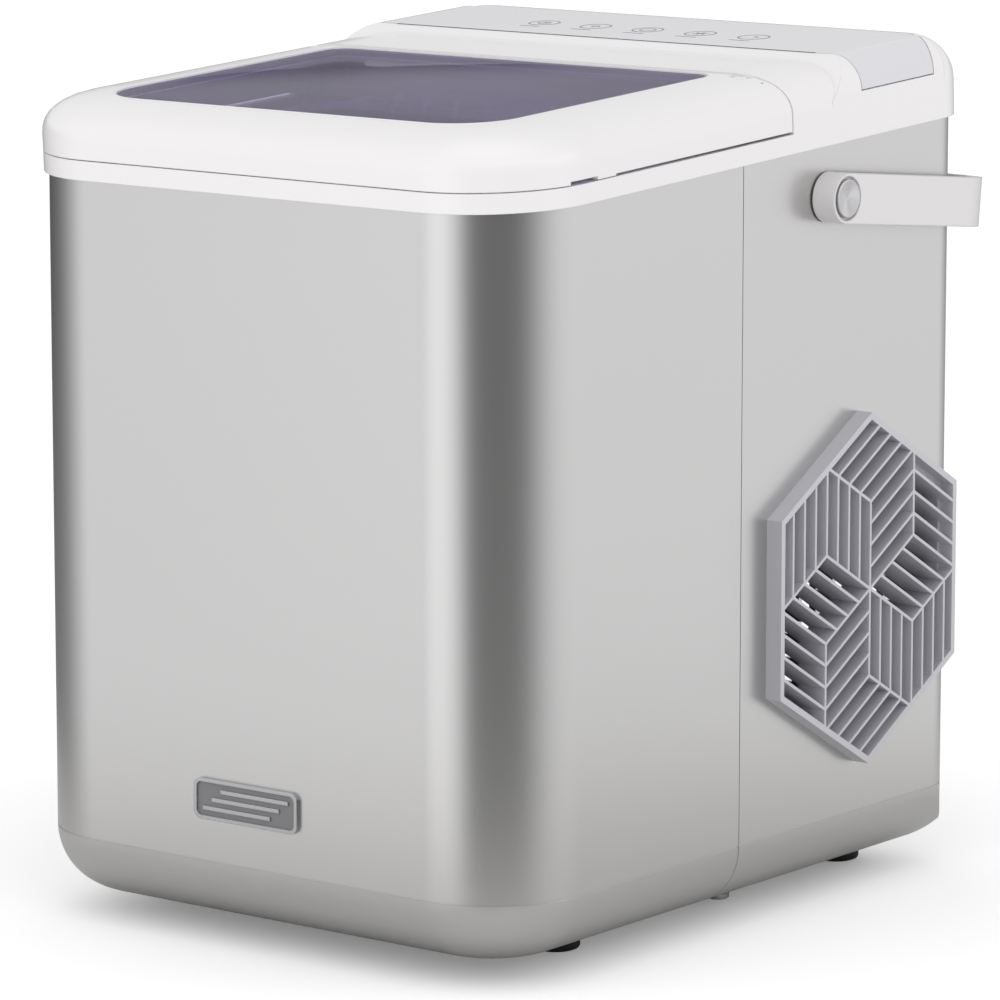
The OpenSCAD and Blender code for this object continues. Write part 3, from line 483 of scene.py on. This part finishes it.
@dataclass(frozen=True)
class SpunMetal:
    """Turned metal, whose fine grooves run round an axis along X.

    Attributes:
        name: The stuff's common name and how it was made.
        colour: sRGB colour.
        axis_y: The axis's Y in the row frame, in metres.
        axis_z: The axis's Z in the row frame, in metres.
        rough: Mean roughness.
        groove_mm: Distance from groove to groove.
    """

    name: str
    colour: str
    axis_y: float
    axis_z: float
    rough: float = 0.34
    groove_mm: float = 0.35

    def build(self) -> bpy.types.Material:
        """Make the Blender material."""
        material, tree = blank_material(self.name)
        place = add_node(tree, "ShaderNodeTexCoord").outputs["Object"]
        from_axis = add_node(
            tree,
            "ShaderNodeMapping",
            {
                "Vector": place,
                "Location": (0.0, -self.axis_y, -self.axis_z),
                "Scale": (0.0, 1.0, 1.0),
            },
        ).outputs["Vector"]
        distance = add_node(
            tree, "ShaderNodeVectorMath", {0: from_axis}, operation="LENGTH"
        ).outputs["Value"]
        grooves = add_node(
            tree,
            "ShaderNodeTexNoise",
            {"W": distance, "Scale": 1.0 / (self.groove_mm * MM), "Detail": 2.0},
            noise_dimensions="1D",
        ).outputs["Fac"]
        around = add_node(
            tree,
            "ShaderNodeVectorMath",
            {0: from_axis, 1: (1.0, 0.0, 0.0)},
            operation="CROSS_PRODUCT",
        ).outputs["Vector"]
        base = linear(self.colour)
        dark = tuple(c * 0.86 for c in base[:3]) + (1.0,)
        tone = add_node(
            tree,
            "ShaderNodeMix",
            {"Factor": grooves, "A": dark, "B": base},
            data_type="RGBA",
        ).outputs["Result"]
        relief = add_node(
            tree,
            "ShaderNodeBump",
            {"Height": grooves, "Strength": 0.12, "Distance": 0.06 * MM},
        ).outputs["Normal"]
        shader = add_node(
            tree,
            "ShaderNodeBsdfPrincipled",
            {
                "Base Color": tone,
                "Metallic": 1.0,
                "Roughness": self.rough,
                "Anisotropic": 0.92,
                "Tangent": around,
                "Normal": relief,
            },
        ).outputs["BSDF"]
        add_node(tree, "ShaderNodeOutputMaterial", {"Surface": shader})
        return material


class Finishes:
    """Every finish of the machine, built once and shared."""

    def __init__(self) -> None:
        """Build all the materials."""
        # stainless sheet, brushed level and lacquered: soft wide reflections, fine level lines
        self.sheet = Finish(
            "Brushed_lacquered_stainless_sheet", "#D0CFCE", 0.30, 0.5, 0.006,
            metal=1.0, uneven=0.012, edge_mm=0.12, grain=Grain.LEVEL,
        ).build()
        # moulded ABS with a pearl lacquer: bright, softly glossy, almost without grain
        self.pearl = Finish(
            "Pearl_lacquered_moulded_ABS", "#EBE9EA", 0.30, 0.7, 0.03,
            coat=0.35, uneven=0.012, edge_mm=0.5,
        ).build()
        # glossy in-mould panel: a touch darker than the cover, with clear reflections
        self.panel = Finish(
            "Gloss_moulded_ABS_panel", "#D9D8DC", 0.20, 0.9, 0.012,
            coat=0.3, uneven=0.01, edge_mm=0.5,
        ).build()
        # moulded ABS with a satin skin: even and slightly warm
        self.grip = Finish(
            "Satin_moulded_ABS_grip", "#DEDBDC", 0.36, 0.5, 0.05,
            coat=0.1, uneven=0.015, edge_mm=0.9,
        ).build()
        # silver painted ABS: pale edges, slightly metallic
        self.slats = Finish(
            "Silver_painted_ABS_grille", "#C9C8CE", 0.38, 0.4, 0.06,
            metal=0.25, uneven=0.03, edge_mm=0.2,
        ).build()
        # nitrile rubber feet: black, dull, faintly grained
        self.rubber = Finish(
            "Moulded_nitrile_rubber", "#131315", 0.62, 0.6, 0.25, uneven=0.12, edge_mm=0.4,
        ).build()
        # glass-filled polypropylene base
        self.base = Finish(
            "Moulded_polypropylene_base", "#3A3A3E", 0.5, 0.7, 0.15, uneven=0.06,
        ).build()
        # dark moulded ABS of brackets, shroud and motor covers
        self.dark = Finish(
            "Moulded_dark_ABS", "#202024", 0.45, 0.6, 0.15, uneven=0.08,
        ).build()
        # vacuum-formed polystyrene liner: white and shiny
        self.liner = Finish(
            "Formed_white_polystyrene", "#D8D9DE", 0.28, 1.2, 0.03, coat=0.2, uneven=0.02,
        ).build()
        # clear moulded polystyrene seen over white: bluish and glossy
        self.clear = Finish(
            "Moulded_clear_polystyrene", "#C3CAD6", 0.14, 1.0, 0.02, coat=0.6, uneven=0.03,
        ).build()
        # nickel-plated copper fingers
        self.nickel = Finish(
            "Nickel_plated_copper", "#C6C2BC", 0.2, 0.5, 0.05, metal=1.0, uneven=0.06,
        ).build()
        # zinc-plated steel fasteners and pins
        self.steel = Finish(
            "Zinc_plated_steel", "#B4B6BA", 0.3, 0.3, 0.08, metal=1.0, uneven=0.06, edge_mm=0.15,
        ).build()
        # rolled aluminium fins
        self.fins = Finish(
            "Rolled_aluminium_fins", "#B9BBBF", 0.35, 0.4, 0.08, metal=1.0, uneven=0.05,
        ).build()
        # black baked enamel of the compressor shell
        self.enamel = Finish(
            "Baked_black_enamel", "#0E0E10", 0.25, 2.0, 0.04, coat=0.4, uneven=0.05,
        ).build()
        # drawn copper tube, slightly tarnished
        self.copper = Finish(
            "Drawn_copper_tube", "#B8754C", 0.3, 0.5, 0.06, metal=1.0, uneven=0.14,
        ).build()
        # green solder mask on a glass-fibre board
        self.board = Finish(
            "Green_circuit_board", "#1D5A36", 0.32, 0.5, 0.1, coat=0.3, uneven=0.12,
        ).build()
        # blue polyester winding tape of the coil
        self.coil = Finish("Blue_coil_tape", "#27407A", 0.4, 0.5, 0.12, uneven=0.1).build()
        # milky silicone tube and buffers
        self.silicone = Finish(
            "Extruded_silicone_rubber", "#CDD3D8", 0.34, 0.8, 0.05, coat=0.1, uneven=0.05,
        ).build()
        # closed-cell polystyrene foam, with beads about 3 mm across
        self.foam = Finish("Beaded_polystyrene_foam", "#EDEDEA", 0.8, 3.0, 0.5, uneven=0.05).build()
        # grey printing ink of the touch marks
        self.ink = Finish("Grey_screen_printing_ink", "#777983", 0.45, 0.3, 0.05, uneven=0.05).build()
        # chromium-plated zinc of the drain cap
        self.chrome = Finish(
            "Chromium_plated_zinc", "#C9CACC", 0.12, 0.6, 0.02, metal=1.0, uneven=0.04,
        ).build()
        # brushed nickel plate of the badge, with dark filled ground
        self.plate = Finish(
            "Brushed_nickel_plate", "#BDBDBF", 0.28, 0.3, 0.05,
            metal=1.0, uneven=0.05, edge_mm=0.3, grain=Grain.LEVEL,
        ).build()
        # matt grey lacquer that fills the badge's ground
        self.ground = Finish(
            "Grey_filling_lacquer", "#838385", 0.5, 0.25, 0.3, metal=0.3, uneven=0.08,
        ).build()
        self.smoke = SmokedPane("Smoked_violet_polycarbonate", "#D2CDE0").build()
        self.smoke_edge = Finish(
            "Cut_edge_of_violet_polycarbonate", "#7E79B8", 0.2, 1.0, 0.02, coat=0.5, uneven=0.04,
        ).build()
        self.cap = SpunMetal(
            "Turned_aluminium_cap", "#D6D6D8", (FRAME_Y + PIVOT_Y) * MM, PIVOT_Z * MM
        ).build()


# --------------------------------------------------------------- sub-assemblies


@dataclass
class Shell:
    """A CAD node shown as a merged, smooth-shaded copy of itself.

    Attributes:
        node: The CAD node.
        smooth_deg: Edges sharper than this stay sharp.
    """

    node: str
    smooth_deg: float = 32.0

    def build(self) -> bpy.types.Object:
        """Make the copy and hide the CAD node."""
        source = frame["nodes"][self.node]
        bm = bmesh.new()
        bm.from_mesh(source.data)
        bmesh.ops.remove_doubles(bm, verts=bm.verts, dist=0.000004)
        bmesh.ops.dissolve_limit(
            bm,
            angle_limit=math.radians(0.15),
            verts=bm.verts,
            edges=bm.edges,
            use_dissolve_boundaries=False,
            delimit={"NORMAL"},
        )
        mark_smooth(bm, self.smooth_deg)
        mesh = bpy.data.meshes.new(self.node + "_shown")
        bm.to_mesh(mesh)
        bm.free()
        made = bpy.data.objects.new(self.node + "_shown", mesh)
        bpy.context.scene.collection.objects.link(made)
        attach(made, source["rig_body"])
        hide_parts(self.node)
        even_normals(made)
        return made


class SubAssembly:
    """A group of pieces that belong together."""

    title = "group"

    def __init__(self, finishes: Finishes) -> None:
        """Keep the shared finishes.

        Args:
            finishes: The machine's finishes.
        """
        self.finishes = finishes

    def build(self) -> list[bpy.types.Object]:
        """Make the pieces; each kind of group has its own."""
        raise NotImplementedError

    def report(self, made: Iterable[bpy.types.Object]) -> None:
        """Log what was made.

        Args:
            made: The pieces.
        """
        for piece in made:
            LOG.info("%s: %s, %d faces", self.title, piece.name, len(piece.data.polygons))


class Housing(SubAssembly):
    """The two wrapped sheets, the badge, the screws, the gland and the feet."""

    title = "housing"

    def build(self) -> list[bpy.types.Object]:
        """Make and dress the outer shells."""
        front = Shell("front_housing", 30.0).build()
        rear = Shell("rear_housing", 30.0).build()
        for piece in (front, rear):
            give(piece, self.finishes.sheet)
        badge = self.badge()
        screws = Shell("housing_screws").build()
        give(screws, self.finishes.steel)
        gland = Shell("cord_gland").build()
        give(gland, self.finishes.dark)
        return [front, rear, badge, screws, gland, *self.feet(), self.drain_cap()]

    def badge(self) -> bpy.types.Object:
        """Make the badge, with a dark filled ground behind its bars."""
        badge = Shell("badge_plate", 30.0).build()
        give(badge, self.finishes.plate, self.finishes.ground)
        front = min(v.co.y for v in badge.data.vertices)
        for face in badge.data.polygons:
            deep = face.center.y > front + 0.2 * MM
            face.material_index = 1 if deep and face.normal.y < -0.9 else 0
        return badge

    def feet(self) -> list[bpy.types.Object]:
        """Make the four rubber feet, as one piece."""
        whole = bmesh.new()
        for x in (-FOOT_X, FOOT_X):
            for y in FOOT_Y:
                one = spun([
                    (0.0, 0.0), (6.9, 0.0), (8.1, 0.5), (8.6, 1.3), (8.6, 3.6), (8.2, 3.9), (8.2, 4.5),
                    (8.5, 4.8), (8.5, 6.3), (8.2, 6.5), (4.7, 6.5), (4.7, 9.6), (4.4, 9.8), (0.0, 9.8),
                ])
                bmesh.ops.translate(one, vec=(x, y, 0.0), verts=one.verts)
                join(whole, one)
        made = as_object(whole, "rubber_feet", BODY, UPRIGHT)
        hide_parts("feet")
        give(made, self.finishes.rubber)
        return [made]

    def drain_cap(self) -> bpy.types.Object:
        """Make the drain's cap with its rolled rim."""
        bm = spun([
            (0.0, 2.2), (3.7, 2.2), (4.2, 2.6), (4.2, 4.2), (4.6, 4.4), (5.0, 4.7), (5.0, 6.9),
            (4.7, 7.2), (2.6, 7.2), (2.6, 19.6), (2.2, 20.0), (0.0, 20.0),
        ], 40)
        bmesh.ops.translate(bm, vec=(DRAIN_X, DRAIN_Y, 0.0), verts=bm.verts)
        made = as_object(bm, "drain_cap", "plug", UPRIGHT)
        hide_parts("drain_plug")
        give(made, self.finishes.chrome)
        return made


class Grilles(SubAssembly):
    """The two hexagonal side grilles."""

    title = "grilles"

    def build(self) -> list[bpy.types.Object]:
        """Make and dress both grilles."""
        made = [Shell(n, 25.0).build() for n in ("side_grille_right", "side_grille_left")]
        for piece in made:
            give(piece, self.finishes.slats)
        return made


class Top(SubAssembly):
    """The pearl cover with its raised deck, the panel and its touch marks."""

    title = "top"
    icon_pitch = 23.6
    icon_x = 3.0
    icon_y = 222.0
    panel_y = 197.4
    # the flush discs that the marks are printed on
    disc_r = 5.97
    recess = 0.38

    def build(self) -> list[bpy.types.Object]:
        """Make and dress the cover, panel and marks."""
        cover = Shell("top_cover", 34.0).build()
        give(cover, self.finishes.pearl)
        panel = Shell("control_fascia", 34.0).build()
        give(panel, self.finishes.panel)
        return [cover, panel, self.painted_shadow_line(), *self.marks()]

    def painted_shadow_line(self) -> bpy.types.Object:
        """Make a dark strip along the panel's front edge: a painted shadow line that stands for the
        shade in the gap between panel and cover.
        """
        bm = bmesh.new()
        bmesh.ops.create_cube(bm, size=1.0)
        bmesh.ops.scale(bm, vec=(188.0, 0.5, 0.5), verts=bm.verts)
        bmesh.ops.translate(bm, vec=(0.0, self.panel_y, DECK_TOP - 0.17), verts=bm.verts)
        # dark strip laid in the gap as a painted shadow along the panel's front edge
        strip = as_object(bm, "panel_shadow_strip", BODY, SLOPE)
        give(strip, self.finishes.dark)
        return strip

    def mark_ring(self, radius: float, width: float, x: float, y: float) -> bmesh.types.BMesh:
        """Make a thin flat ring of ink.

        Args:
            radius: Outer radius.
            width: Width of the line.
            x: Middle of the ring.
            y: Middle of the ring, along the slope.

        Returns:
            The ring's mesh.
        """
        top = DECK_TOP + 0.05
        bm = spun([
            (radius - width, DECK_TOP - 0.02), (radius, DECK_TOP - 0.02), (radius, top),
            (radius - width, top), (radius - width, DECK_TOP - 0.02),
        ], 48)
        bmesh.ops.translate(bm, vec=(x, y, 0.0), verts=bm.verts)
        return bm

    def mark_bar(self, x: float, y: float, w: float, h: float, turn: float) -> bmesh.types.BMesh:
        """Make a short bar of ink.

        Args:
            x: Middle of the bar.
            y: Middle of the bar, along the slope.
            w: Width.
            h: Length.
            turn: Turn about the slope's upright, in degrees.

        Returns:
            The bar's mesh.
        """
        bm = bmesh.new()
        bmesh.ops.create_cube(bm, size=1.0)
        bmesh.ops.scale(bm, vec=(w, h, 0.07), verts=bm.verts)
        bmesh.ops.rotate(
            bm, verts=bm.verts, cent=(0.0, 0.0, 0.0), matrix=Matrix.Rotation(math.radians(turn), 3, "Z")
        )
        bmesh.ops.translate(bm, vec=(x, y, DECK_TOP + 0.015), verts=bm.verts)
        return bm

    def marks(self) -> list[bpy.types.Object]:
        """Make the five touch marks and the flush windows they are printed on."""
        ink = bmesh.new()
        flush = bmesh.new()
        for i in range(-2, 3):
            x = self.icon_x + i * self.icon_pitch
            y = self.icon_y
            parts = [self.mark_ring(5.9, 0.45, x, y)]
            if i == -2:
                parts += [self.mark_bar(x, y + 1.3, 0.5, 2.6, 0.0), self.mark_ring(2.6, 0.45, x, y)]
            elif i == -1:
                parts += [self.mark_ring(1.7, 0.4, x, y)]
            elif i == 0:
                parts += [self.mark_ring(3.2, 0.4, x, y)]
            elif i == 1:
                parts += [self.mark_bar(x, y, 0.4, 6.4, t) for t in (0.0, 60.0, 120.0)]
            else:
                parts += [
                    self.mark_bar(x, y + 1.1, 0.4, 2.4, 0.0),
                    self.mark_bar(x + 1.0, y, 0.4, 2.2, 90.0),
                ]
            parts.append(self.mark_bar(x, y - 9.2, 9.0, 0.5, 0.0))
            for part in parts:
                join(ink, part)
            low = DECK_TOP - self.recess
            disc = spun([(0.0, low), (self.disc_r, low), (self.disc_r, DECK_TOP), (0.0, DECK_TOP)], 64)
            bmesh.ops.translate(disc, vec=(x, y, 0.0), verts=disc.verts)
            join(flush, disc)
        marks = as_object(ink, "touch_marks", BODY, SLOPE)
        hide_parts("touch_icons")
        give(marks, self.finishes.ink)
        windows = as_object(flush, "touch_windows", BODY, SLOPE)
        give(windows, self.finishes.panel)
        return [marks, windows]


class Lid(SubAssembly):
    """The hinged lid: pearl frame, smoked pane, its bright bead and its buffers."""

    title = "lid"
    # the pane's edges and plan radii, and the bead that overlaps them
    pane_x = 84.8
    pane_y0 = 16.7
    pane_y1 = 151.2
    front_r = 21.8
    rear_r = 8.8
    bead_over = 1.5
    bead_width = 1.35
    bead_top = 19.86

    def build(self) -> list[bpy.types.Object]:
        """Make and dress the lid's pieces."""
        cover = Shell("lid_frame", 34.0).build()
        give(cover, self.finishes.pearl)
        buffers = Shell("lid_buffers").build()
        give(buffers, self.finishes.silicone)
        return [cover, buffers, self.pane(), self.bead()]

    def pane(self) -> bpy.types.Object:
        """Make the smoked pane, with a small round on its upper rim."""
        bm = rounded_slab(
            self.pane_x, self.pane_y0, self.pane_y1, 16.9, 19.5, self.front_r, self.rear_r, 0.9
        )
        for face in bm.faces:
            face.material_index = 1 if abs(face.normal.z) < 0.98 else 0
        made = as_object(bm, "smoked_pane", "lid", SLOPE)
        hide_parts("lid_window")
        give(made, self.finishes.smoke, self.finishes.smoke_edge)
        return made

    def bead(self) -> bpy.types.Object:
        """Make the bright bead that borders the pane."""
        out = self.bead_over
        bm = rounded_slab(
            self.pane_x + out, self.pane_y0 - out, self.pane_y1 + out, 18.2, self.bead_top,
            self.front_r + out, self.rear_r + out, 0.0,
        )
        for side in (1.0, -1.0):
            flat = [f for f in bm.faces if f.normal.z * side > 0.9]
            bmesh.ops.inset_region(bm, faces=flat, thickness=self.bead_width)
        inner = [f for f in bm.faces if abs(f.normal.z) > 0.9 and len(f.verts) > 8]
        loops = [list(f.edges) for f in inner]
        bmesh.ops.delete(bm, geom=inner, context="FACES_ONLY")
        bmesh.ops.bridge_loops(bm, edges=[e for loop in loops for e in loop])
        rim = [
            e for e in bm.edges
            if all(abs(v.co.z - self.bead_top) < 0.01 for v in e.verts) and e.calc_face_angle(0.0) > 0.8
        ]
        bmesh.ops.bevel(
            bm, geom=rim, offset=0.5, offset_type="OFFSET", affect="EDGES",
            segments=3, profile=0.5, material=-1,
        )
        made = as_object(bm, "pane_bead", "lid", SLOPE)
        give(made, self.finishes.pearl)
        return made


class Handle(SubAssembly):
    """The folding bail with its turned caps."""

    title = "handle"

    def build(self) -> list[bpy.types.Object]:
        """Make and dress the bail, bushes and caps."""
        bail = Shell("handle", 30.0).build()
        give(bail, self.finishes.grip)
        bushes = Shell("handle_bushes").build()
        give(bushes, self.finishes.steel)
        return [bail, bushes, self.caps()]

    def caps(self) -> bpy.types.Object:
        """Make both turned caps as one piece."""
        whole = bmesh.new()
        for side in (-1.0, 1.0):
            one = spun([
                (0.0, 8.05), (6.75, 8.05), (6.75, 9.6), (6.6, 9.9), (6.3, 10.0),
                (6.0, 9.95), (0.0, 9.05),
            ], 96)
            bmesh.ops.rotate(
                one,
                verts=one.verts,
                cent=(0.0, 0.0, 0.0),
                matrix=Matrix.Rotation(side * math.pi / 2, 3, "Y"),
            )
            bmesh.ops.translate(
                one,
                vec=(side * HALF_WIDTH, PIVOT_Y, PIVOT_Z),
                verts=one.verts,
            )
            join(whole, one)
        made = as_object(whole, "turned_caps", "handle_bail", UPRIGHT, 20.0)
        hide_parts("handle_caps")
        give(made, self.finishes.cap)
        return made


class Inside(SubAssembly):
    """Everything under the lid and behind the walls."""

    title = "inside"

    def build(self) -> list[bpy.types.Object]:
        """Make and dress the working pieces."""
        f = self.finishes
        plan = {
            "base_pan": f.base, "control_board": f.board, "hinge_pins": f.steel, "liner": f.liner,
            "insulation": f.foam, "ice_basket": f.clear, "ice_scoop": f.clear, "ice_chute": f.liner,
            "evaporator": f.nickel, "evaporator_bracket": f.dark, "water_tray": f.clear,
            "tray_shaft": f.steel, "tray_motor": f.dark, "ice_pusher": f.liner, "water_pump": f.dark,
            "pump_impeller": f.liner, "water_tube": f.silicone, "drain_tube": f.silicone,
            "compressor": f.enamel, "compressor_grommets": f.rubber, "terminal_cover": f.dark,
            "condenser": f.fins, "fan_shroud": f.dark, "fan_motor": f.steel, "fan_rotor": f.dark,
            "filter_drier": f.copper, "solenoid_valve": f.coil, "refrigerant_pipes": f.copper,
            "power_board": f.board, "ice_sensors": f.dark,
        }
        made = []
        for node, material in plan.items():
            piece = Shell(node).build()
            give(piece, material)
            made.append(piece)
        return made


# --------------------------------------------------------------------- studio


@dataclass
class Studio:
    """Pale floor, soft lights and the camera.

    Attributes:
        lens: Focal length on a 36 mm sensor.
        eye: Camera's place in the row frame, in metres.
        right: Way that points to the picture's right.
        back: Way from the machine to the camera.
    """

    lens: float = 207.5
    eye: tuple[float, float, float] = (1.2436, -1.6062, 0.4911)
    right: tuple[float, float, float] = (0.7900, 0.6131, 0.0)
    back: tuple[float, float, float] = (0.6041, -0.7785, 0.1704)

    # how bright the surroundings are at each azimuth: nought is straight ahead of the
    # machine, positive is to its right, and the dark gap gives the front corner its band
    around = (
        (-180, 0.45), (-142, 0.06), (-111, 0.06), (-88, 0.14), (-74, 0.28), (-62, 0.58), (-50, 0.94),
        (-42, 1.00), (-34, 1.14), (-27, 1.42), (-16, 1.44), (-5, 1.26), (4, 0.86), (11, 0.34),
        (17, 0.08), (26, 0.02), (45, 0.02), (60, 0.03), (70, 0.10), (80, 0.30), (92, 0.62),
        (106, 0.88), (120, 0.98), (140, 1.02), (160, 0.96), (180, 0.45),
    )

    def camera(self) -> None:
        """Make the camera."""
        data = bpy.data.cameras.new("camera")
        data.lens = self.lens
        data.sensor_width = 36.0
        data.clip_start = 0.05
        data.clip_end = 50.0
        eye = bpy.data.objects.new("camera", data)
        right = Vector(self.right).normalized()
        back = Vector(self.back).normalized()
        up = back.cross(right).normalized()
        turn = Matrix((right, up, back)).transposed().to_4x4()
        eye.matrix_world = Matrix.Translation(self.eye) @ turn
        bpy.context.scene.collection.objects.link(eye)
        bpy.context.scene.camera = eye

    def floor(self) -> None:
        """Make a pale floor that fades out into the surroundings."""
        bm = bmesh.new()
        bmesh.ops.create_circle(bm, cap_ends=True, segments=96, radius=1.1)
        mesh = bpy.data.meshes.new("floor")
        bm.to_mesh(mesh)
        bm.free()
        floor = bpy.data.objects.new("floor", mesh)
        bpy.context.scene.collection.objects.link(floor)
        material, tree = blank_material("Pale_studio_floor")
        place = add_node(tree, "ShaderNodeTexCoord").outputs["Object"]
        distance = add_node(
            tree, "ShaderNodeVectorMath", {0: place}, operation="LENGTH"
        ).outputs["Value"]
        fade = add_node(
            tree,
            "ShaderNodeMapRange",
            {"Value": distance, "From Min": 0.22, "From Max": 0.48, "To Min": 0.0, "To Max": 1.0},
            interpolation_type="SMOOTHSTEP",
        ).outputs["Result"]
        # brighter to the eye than in the machine's own reflections
        seen = add_node(tree, "ShaderNodeLightPath").outputs["Is Camera Ray"]
        tone = add_node(
            tree,
            "ShaderNodeMix",
            {"Factor": seen, "A": (0.70, 0.70, 0.69, 1.0), "B": (1.0, 1.0, 1.0, 1.0)},
            data_type="RGBA",
        ).outputs["Result"]
        matt = add_node(tree, "ShaderNodeBsdfDiffuse", {"Color": tone}).outputs["BSDF"]
        glow = add_node(
            tree, "ShaderNodeEmission", {"Color": (1.0, 1.0, 1.0, 1.0), "Strength": 0.20}
        ).outputs["Emission"]
        bright = add_node(tree, "ShaderNodeAddShader", {0: matt, 1: glow}).outputs["Shader"]
        pale = add_node(
            tree, "ShaderNodeMixShader", {0: seen, 1: matt, 2: bright}
        ).outputs["Shader"]
        clear = add_node(tree, "ShaderNodeBsdfTransparent").outputs["BSDF"]
        both = add_node(
            tree, "ShaderNodeMixShader", {0: fade, 1: pale, 2: clear}
        ).outputs["Shader"]
        add_node(tree, "ShaderNodeOutputMaterial", {"Surface": both})
        give(floor, material)

    def surroundings(self) -> None:
        """Make soft surroundings: two bright sides with a dark gap between them."""
        world = bpy.data.worlds.new("studio")
        world.use_nodes = True
        tree = world.node_tree
        tree.nodes.clear()
        way = add_node(tree, "ShaderNodeTexCoord").outputs["Generated"]
        split = add_node(tree, "ShaderNodeSeparateXYZ", {"Vector": way})
        ahead = add_node(
            tree, "ShaderNodeMath", {0: split.outputs["Y"], 1: -1.0}, operation="MULTIPLY"
        ).outputs["Value"]
        azimuth = add_node(
            tree, "ShaderNodeMath", {0: split.outputs["X"], 1: ahead}, operation="ARCTAN2"
        ).outputs["Value"]
        turn = add_node(
            tree,
            "ShaderNodeMapRange",
            {"Value": azimuth, "From Min": -math.pi, "From Max": math.pi},
        ).outputs["Result"]
        ramp = add_node(tree, "ShaderNodeValToRGB", {"Fac": turn})
        ramp.color_ramp.interpolation = "LINEAR"
        band = ramp.color_ramp.elements
        while len(band) < len(self.around):
            band.new(0.5)
        for element, (degrees, level) in zip(band, self.around):
            element.position = (degrees + 180.0) / 360.0
            element.color = (level, level, level * 1.01, 1.0)
        above = add_node(
            tree,
            "ShaderNodeMapRange",
            {"Value": split.outputs["Z"], "From Min": 0.02, "From Max": 0.20},
            interpolation_type="SMOOTHSTEP",
        ).outputs["Result"]
        # the dark gap fades towards the floor
        below = add_node(
            tree,
            "ShaderNodeMapRange",
            {"Value": split.outputs["Z"], "From Min": -0.12, "From Max": -0.26, "To Max": 0.4},
        ).outputs["Result"]
        faded = add_node(
            tree,
            "ShaderNodeMix",
            {"Factor": below, "A": ramp.outputs["Color"], "B": (0.72, 0.72, 0.72, 1.0)},
            data_type="RGBA",
        ).outputs["Result"]
        whole = add_node(
            tree,
            "ShaderNodeMix",
            {"Factor": above, "A": faded, "B": (0.84, 0.84, 0.85, 1.0)},
            data_type="RGBA",
        ).outputs["Result"]
        # matt surfaces are lit evenly, a little more from the right and from above
        matt = add_node(
            tree,
            "ShaderNodeVectorMath",
            {0: way, 1: (0.12, -0.30, -0.08)},
            operation="DOT_PRODUCT",
        ).outputs["Value"]
        even = add_node(
            tree, "ShaderNodeMath", {0: matt, 1: 0.90}, operation="ADD"
        ).outputs["Value"]
        path = add_node(tree, "ShaderNodeLightPath")
        level = add_node(
            tree,
            "ShaderNodeMix",
            {"Factor": path.outputs["Is Diffuse Ray"], "A": whole, "B": even},
            data_type="RGBA",
        ).outputs["Result"]
        lit = add_node(
            tree, "ShaderNodeBackground", {"Color": level, "Strength": 1.0}
        ).outputs["Background"]
        plain = add_node(
            tree, "ShaderNodeBackground", {"Color": (1.0, 1.0, 1.0, 1.0), "Strength": 1.05}
        ).outputs["Background"]
        seen = path.outputs["Is Camera Ray"]
        both = add_node(
            tree, "ShaderNodeMixShader", {0: seen, 1: lit, 2: plain}
        ).outputs["Shader"]
        add_node(tree, "ShaderNodeOutputWorld", {"Surface": both})
        bpy.context.scene.world = world

    def light(self, name: str, at: Vector, size: float, power: float) -> None:
        """Make one soft area light that faces the machine.

        Args:
            name: The light's name.
            at: Its place, in metres.
            size: Its width and height, in metres.
            power: Its power, in watts.
        """
        data = bpy.data.lights.new(name, "AREA")
        data.size = size
        data.energy = power
        lamp = bpy.data.objects.new(name, data)
        lamp.location = at
        lamp.rotation_mode = "QUATERNION"
        lamp.rotation_quaternion = (Vector((0.0, 0.0, 0.15)) - at).to_track_quat("-Z", "Y")
        bpy.context.scene.collection.objects.link(lamp)

    def build(self) -> None:
        """Make the whole studio."""
        bpy.context.scene.view_settings.view_transform = "Standard"
        self.camera()
        self.floor()
        self.surroundings()
        self.light("top_light", Vector((0.1, -0.3, 1.9)), 1.4, 3.0)
        self.light("side_light", Vector((1.9, 1.0, 1.0)), 1.2, 3.0)


def main() -> None:
    """Build the studio and the machine, and log how many faces each piece has."""
    logging.basicConfig(level=logging.INFO, format="%(message)s")
    Studio().build()
    finishes = Finishes()
    for group in (Housing, Grilles, Top, Lid, Handle, Inside):
        assembly = group(finishes)
        assembly.report(assembly.build())


if __name__ == "__main__":
    main()
